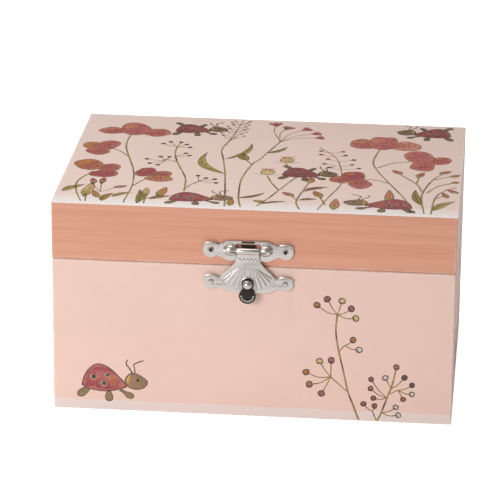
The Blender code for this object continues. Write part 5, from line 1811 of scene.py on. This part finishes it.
class BOX_OT_ballerina(bpy.types.Operator):
    """Make the ballerina: moulded doll, painted face, satin bodice, tulle skirt and her spring."""
    bl_idname = "box.ballerina"
    bl_label = "Ballerina"

    def execute(self, context):
        limbs = [
            *limb("standing_shin", (0, 0, 9.4), (0, 0, 15.0), 0.85, 1.15),
            *limb("standing_thigh", (0, 0, 15.0), (0, 0, 24.0), 1.15, 1.75),
            *limb("raised_thigh", (0.4, 0, 22.4), (4.5, -1.5, 18.7), 1.65, 1.15),
            *limb("raised_shin", (4.5, -1.5, 18.7), (1.4, -1.2, 14.8), 1.1, 0.75),
            *limb("neck", (0, 0, 34.4), (0, 0, 38.6), 1.15, 0.95),
            lump("shoulders", (0, 0, 34.9), (3.1, 1.5, 1.2)),
        ]
        for side in (-1, 1):
            limbs += limb(f"upper_arm_{side}", (side * 2.8, 0, 34.8), (side * 6.2, -0.8, 40.0), 0.95, 0.7)
            limbs += limb(f"fore_arm_{side}", (side * 6.2, -0.8, 40.0), (side * 3.7, -1.6, 46.4), 0.72, 0.5)
            limbs.append(lump(f"hand_{side}", (side * 3.0, -1.65, 47.5), (0.95, 0.5, 1.15)))
        doll_part("doll_body", doll_skin(), *limbs)
        doll_part(
            "doll_head", doll_skin(), lump("skull", (0, 0.1, 40.9), (2.45, 2.65, 2.9)),
            lump("jaw", (0, -0.5, 39.3), (1.75, 1.9, 1.7)),
            lump("nose", (0, -2.7, 40.4), (0.3, 0.45, 0.5)), voxel=0.14, smoothing=4,
        )
        doll_part(
            "doll_hair", doll_hair(), lump("cap", (0, 0.55, 41.6), (2.7, 2.7, 2.75)),
            lump("bun", (0, 1.3, 44.3), (1.45, 1.45, 1.3)),
            lump("nape", (0, 1.5, 40.4), (2.0, 1.6, 2.0)), voxel=0.16, smoothing=3,
        )
        doll_part(
            "doll_bodice", doll_dress(), *limb("waist", (0, 0, 26.5), (0, 0, 31.5), 2.0, 2.3),
            lump("hips", (0, 0, 25.0), (2.95, 2.35, 2.6)),
            lump("bust_left", (-1.2, -0.9, 32.6), (1.5, 1.3, 1.5)),
            lump("bust_right", (1.2, -0.9, 32.6), (1.5, 1.3, 1.5)),
            lump("chest", (0, 0, 32.2), (3.2, 2.0, 2.1)),
        )
        doll_part(
            "doll_slippers", doll_dress(), *limb("toe", (0, 0, 6.6), (0, 0, 10.2), 0.8, 1.02),
            *limb("raised_toe", (1.9, -1.25, 15.4), (0.5, -1.0, 13.6), 0.92, 0.6),
        )
        self.paint_face()
        self.make_stand()
        self.gather_skirt()
        return {"FINISHED"}

    def paint_face(self):
        """A plain doll's face: round eyes, arched brows and a small mouth."""
        dark = []
        for side in (-1, 1):
            dark.append(lump(f"eye_{side}", (side * 0.95, -2.38, 41.0), (0.3, 0.16, 0.24)))
            dark.append(
                add_bar(
                    f"brow_{side}", Vector((side * 0.6, -2.5, 41.75)) * MM,
                    Vector((side * 1.4, -2.2, 41.7)) * MM, 0.08 * MM, 8,
                ),
            )
        eyes = merge("doll_eyes", *dark)
        eyes.data.transform(LEANING)
        finish(eyes, "ballerina", face_paint(), 60)
        mouth = merge(
            "doll_mouth", lump("upper_lip", (0, -2.36, 39.25), (0.42, 0.14, 0.1)),
            lump("lower_lip", (0, -2.32, 39.08), (0.32, 0.14, 0.1)),
        )
        mouth.data.transform(LEANING)
        finish(mouth, "ballerina", lip_paint(), 60)

    def make_stand(self):
        """The round foot socket in the spring's top."""
        socket = add_bar("foot_socket", (0, 0, 5.4 * MM), (0, 0, 7.1 * MM), 2.35 * MM, 32)
        soften(socket, 0.35 * MM, 3)
        socket.data.transform(LEANING)
        finish(socket, "ballerina", white_plastic(), stands_for=("ballerina_figure",))
        repaint("ballerina_spring", steel())

    def gather_skirt(self):
        """Three gathered rounds of tulle, stitched at the waist."""
        layers = []
        for number, (drop, phase, folds) in enumerate(((0.0, 0.0, 19), (0.9, 0.6, 21), (1.7, 1.3, 17))):
            def fold_point(down, across, drop=drop, phase=phase, folds=folds):
                angle = 2 * math.pi * across
                reach = 3.3 + 11.2 * down
                wave = math.sin(folds * angle + phase + 0.8 * math.sin(3 * angle)) * 0.75 * down ** 0.8
                edge = 0.25 * math.sin(2 * folds * angle + phase) * down ** 3
                rise = 27.2 - drop * (0.35 + 0.65 * down) - 0.7 * down + wave * 0.72
                return (reach + edge) * MM * math.cos(angle), (reach + edge) * MM * math.sin(angle), rise * MM

            layers.append(grid_piece(f"tulle_round_{number}", 10, 252, fold_point, closed=True))
        skirt = merge("tulle_skirt", *layers)
        skirt.data.transform(LEANING)
        return finish(skirt, "ballerina", tulle(), 80, ("ballerina_tutu",))


# Studio

LIGHTS = (  # name, place, size, power, colour
    ("key_light", (-1.2, -1.7, 0.8), 1.0, 20.0, (1.0, 0.985, 0.965)),
    ("top_light", (-0.35, 0.2, 1.7), 1.4, 16.5, (1.0, 1.0, 1.0)),
)
WORLD_STRENGTH = (0.235, 1.1)  # on the object, and to the camera
CAMERA_SHIFT = (-6.91, 6.53)  # millimetres across and up the view


class BOX_OT_studio(bpy.types.Operator):
    """Lay the white floor, light it softly and set the camera."""
    bl_idname = "box.studio"
    bl_label = "Studio"

    def execute(self, context):
        studio = context.scene.box_studio
        deselect_all()
        bpy.ops.mesh.primitive_plane_add(size=6.0, location=(0, 0.4, 0))
        floor = bpy.context.object
        floor.name = "floor"
        apply_place(floor)
        floor.data.materials.append(backdrop())
        for light in LIGHTS:
            self.lay_light(*light)
        self.set_world()
        self.set_camera(studio)
        view = context.scene.view_settings
        view.view_transform = "Standard"
        view.look = "None"
        view.exposure = 0.0
        return {"FINISHED"}

    def lay_light(self, name, place, size, power, colour):
        light = bpy.data.lights.new(name, "AREA")
        light.shape, light.size, light.energy, light.color = "DISK", size, power, colour
        made = bpy.data.objects.new(name, light)
        made.location = place
        made.rotation_euler = (Vector((0, 0, 0.05)) - Vector(place)).to_track_quat("-Z", "Y").to_euler()
        bpy.context.scene.collection.objects.link(made)

    def set_world(self):
        world = bpy.data.worlds.new("studio_white")
        world.use_nodes = True
        tree = Tree(world.node_tree)
        background = world.node_tree.nodes["Background"]
        background.inputs["Color"].default_value = (1.0, 0.99, 0.98, 1.0)
        seen = tree.add("ShaderNodeLightPath").outputs["Is Camera Ray"]
        tree.feed(background.inputs["Strength"], tree.spread(seen, *WORLD_STRENGTH))
        bpy.context.scene.world = world

    def set_camera(self, studio):
        azimuth, elevation, roll = studio.azimuth, studio.elevation, studio.roll
        back = Vector(
            (
                math.sin(azimuth) * math.cos(elevation), -math.cos(azimuth) * math.cos(elevation),
                math.sin(elevation),
            ),
        )
        level = Vector((math.cos(azimuth), math.sin(azimuth), 0))
        rise = back.cross(level)
        across = math.cos(roll) * level + math.sin(roll) * rise
        up = math.cos(roll) * rise - math.sin(roll) * level
        middle = Vector((0, 0, CAD_HIGH.z / 2))
        place = middle + back * studio.distance + (across * CAMERA_SHIFT[0] + up * CAMERA_SHIFT[1]) * MM
        camera = bpy.data.cameras.new("camera")
        camera.lens, camera.sensor_width = studio.lens, 36.0
        camera.clip_start, camera.clip_end = 0.05, 20.0
        made = bpy.data.objects.new("camera", camera)
        bpy.context.scene.collection.objects.link(made)
        turn = Matrix((across, up, back)).transposed()
        made.matrix_world = Matrix.Translation(place) @ turn.to_4x4()
        bpy.context.scene.camera = made


OPERATORS = (
    BOX_OT_studio, BOX_OT_case, BOX_OT_lid, BOX_OT_lining, BOX_OT_mirror, BOX_OT_catch, BOX_OT_hinges,
    BOX_OT_movement,
    BOX_OT_ballerina, BOX_OT_print,
)


class BOX_PT_panel(bpy.types.Panel):
    """The box's pieces and settings in the sidebar."""
    bl_idname = "BOX_PT_panel"
    bl_label = "Jewellery Box"
    bl_space_type = "VIEW_3D"
    bl_region_type = "UI"
    bl_category = "Jewellery Box"

    def draw(self, context):
        for operator in OPERATORS:
            self.layout.operator(operator.bl_idname)
        for name, group in SETTINGS.items():
            column = self.layout.column(align=True)
            column.label(text=name.replace("_", " ").capitalize())
            for key in group.__annotations__:
                column.prop(getattr(context.scene, name), key)


def register():
    for group in SETTINGS.values():
        bpy.utils.register_class(group)
    for operator in OPERATORS:
        bpy.utils.register_class(operator)
    bpy.utils.register_class(BOX_PT_panel)
    for name, group in SETTINGS.items():
        setattr(bpy.types.Scene, name, PointerProperty(type=group))


def unregister():
    for name in SETTINGS:
        delattr(bpy.types.Scene, name)
    bpy.utils.unregister_class(BOX_PT_panel)
    for operator in reversed(OPERATORS):
        bpy.utils.unregister_class(operator)
    for group in SETTINGS.values():
        bpy.utils.unregister_class(group)


def main():
    register()
    for operator in OPERATORS:
        group, name = operator.bl_idname.split(".")
        getattr(getattr(bpy.ops, group), name)()


if __name__ == "__main__":
    main()
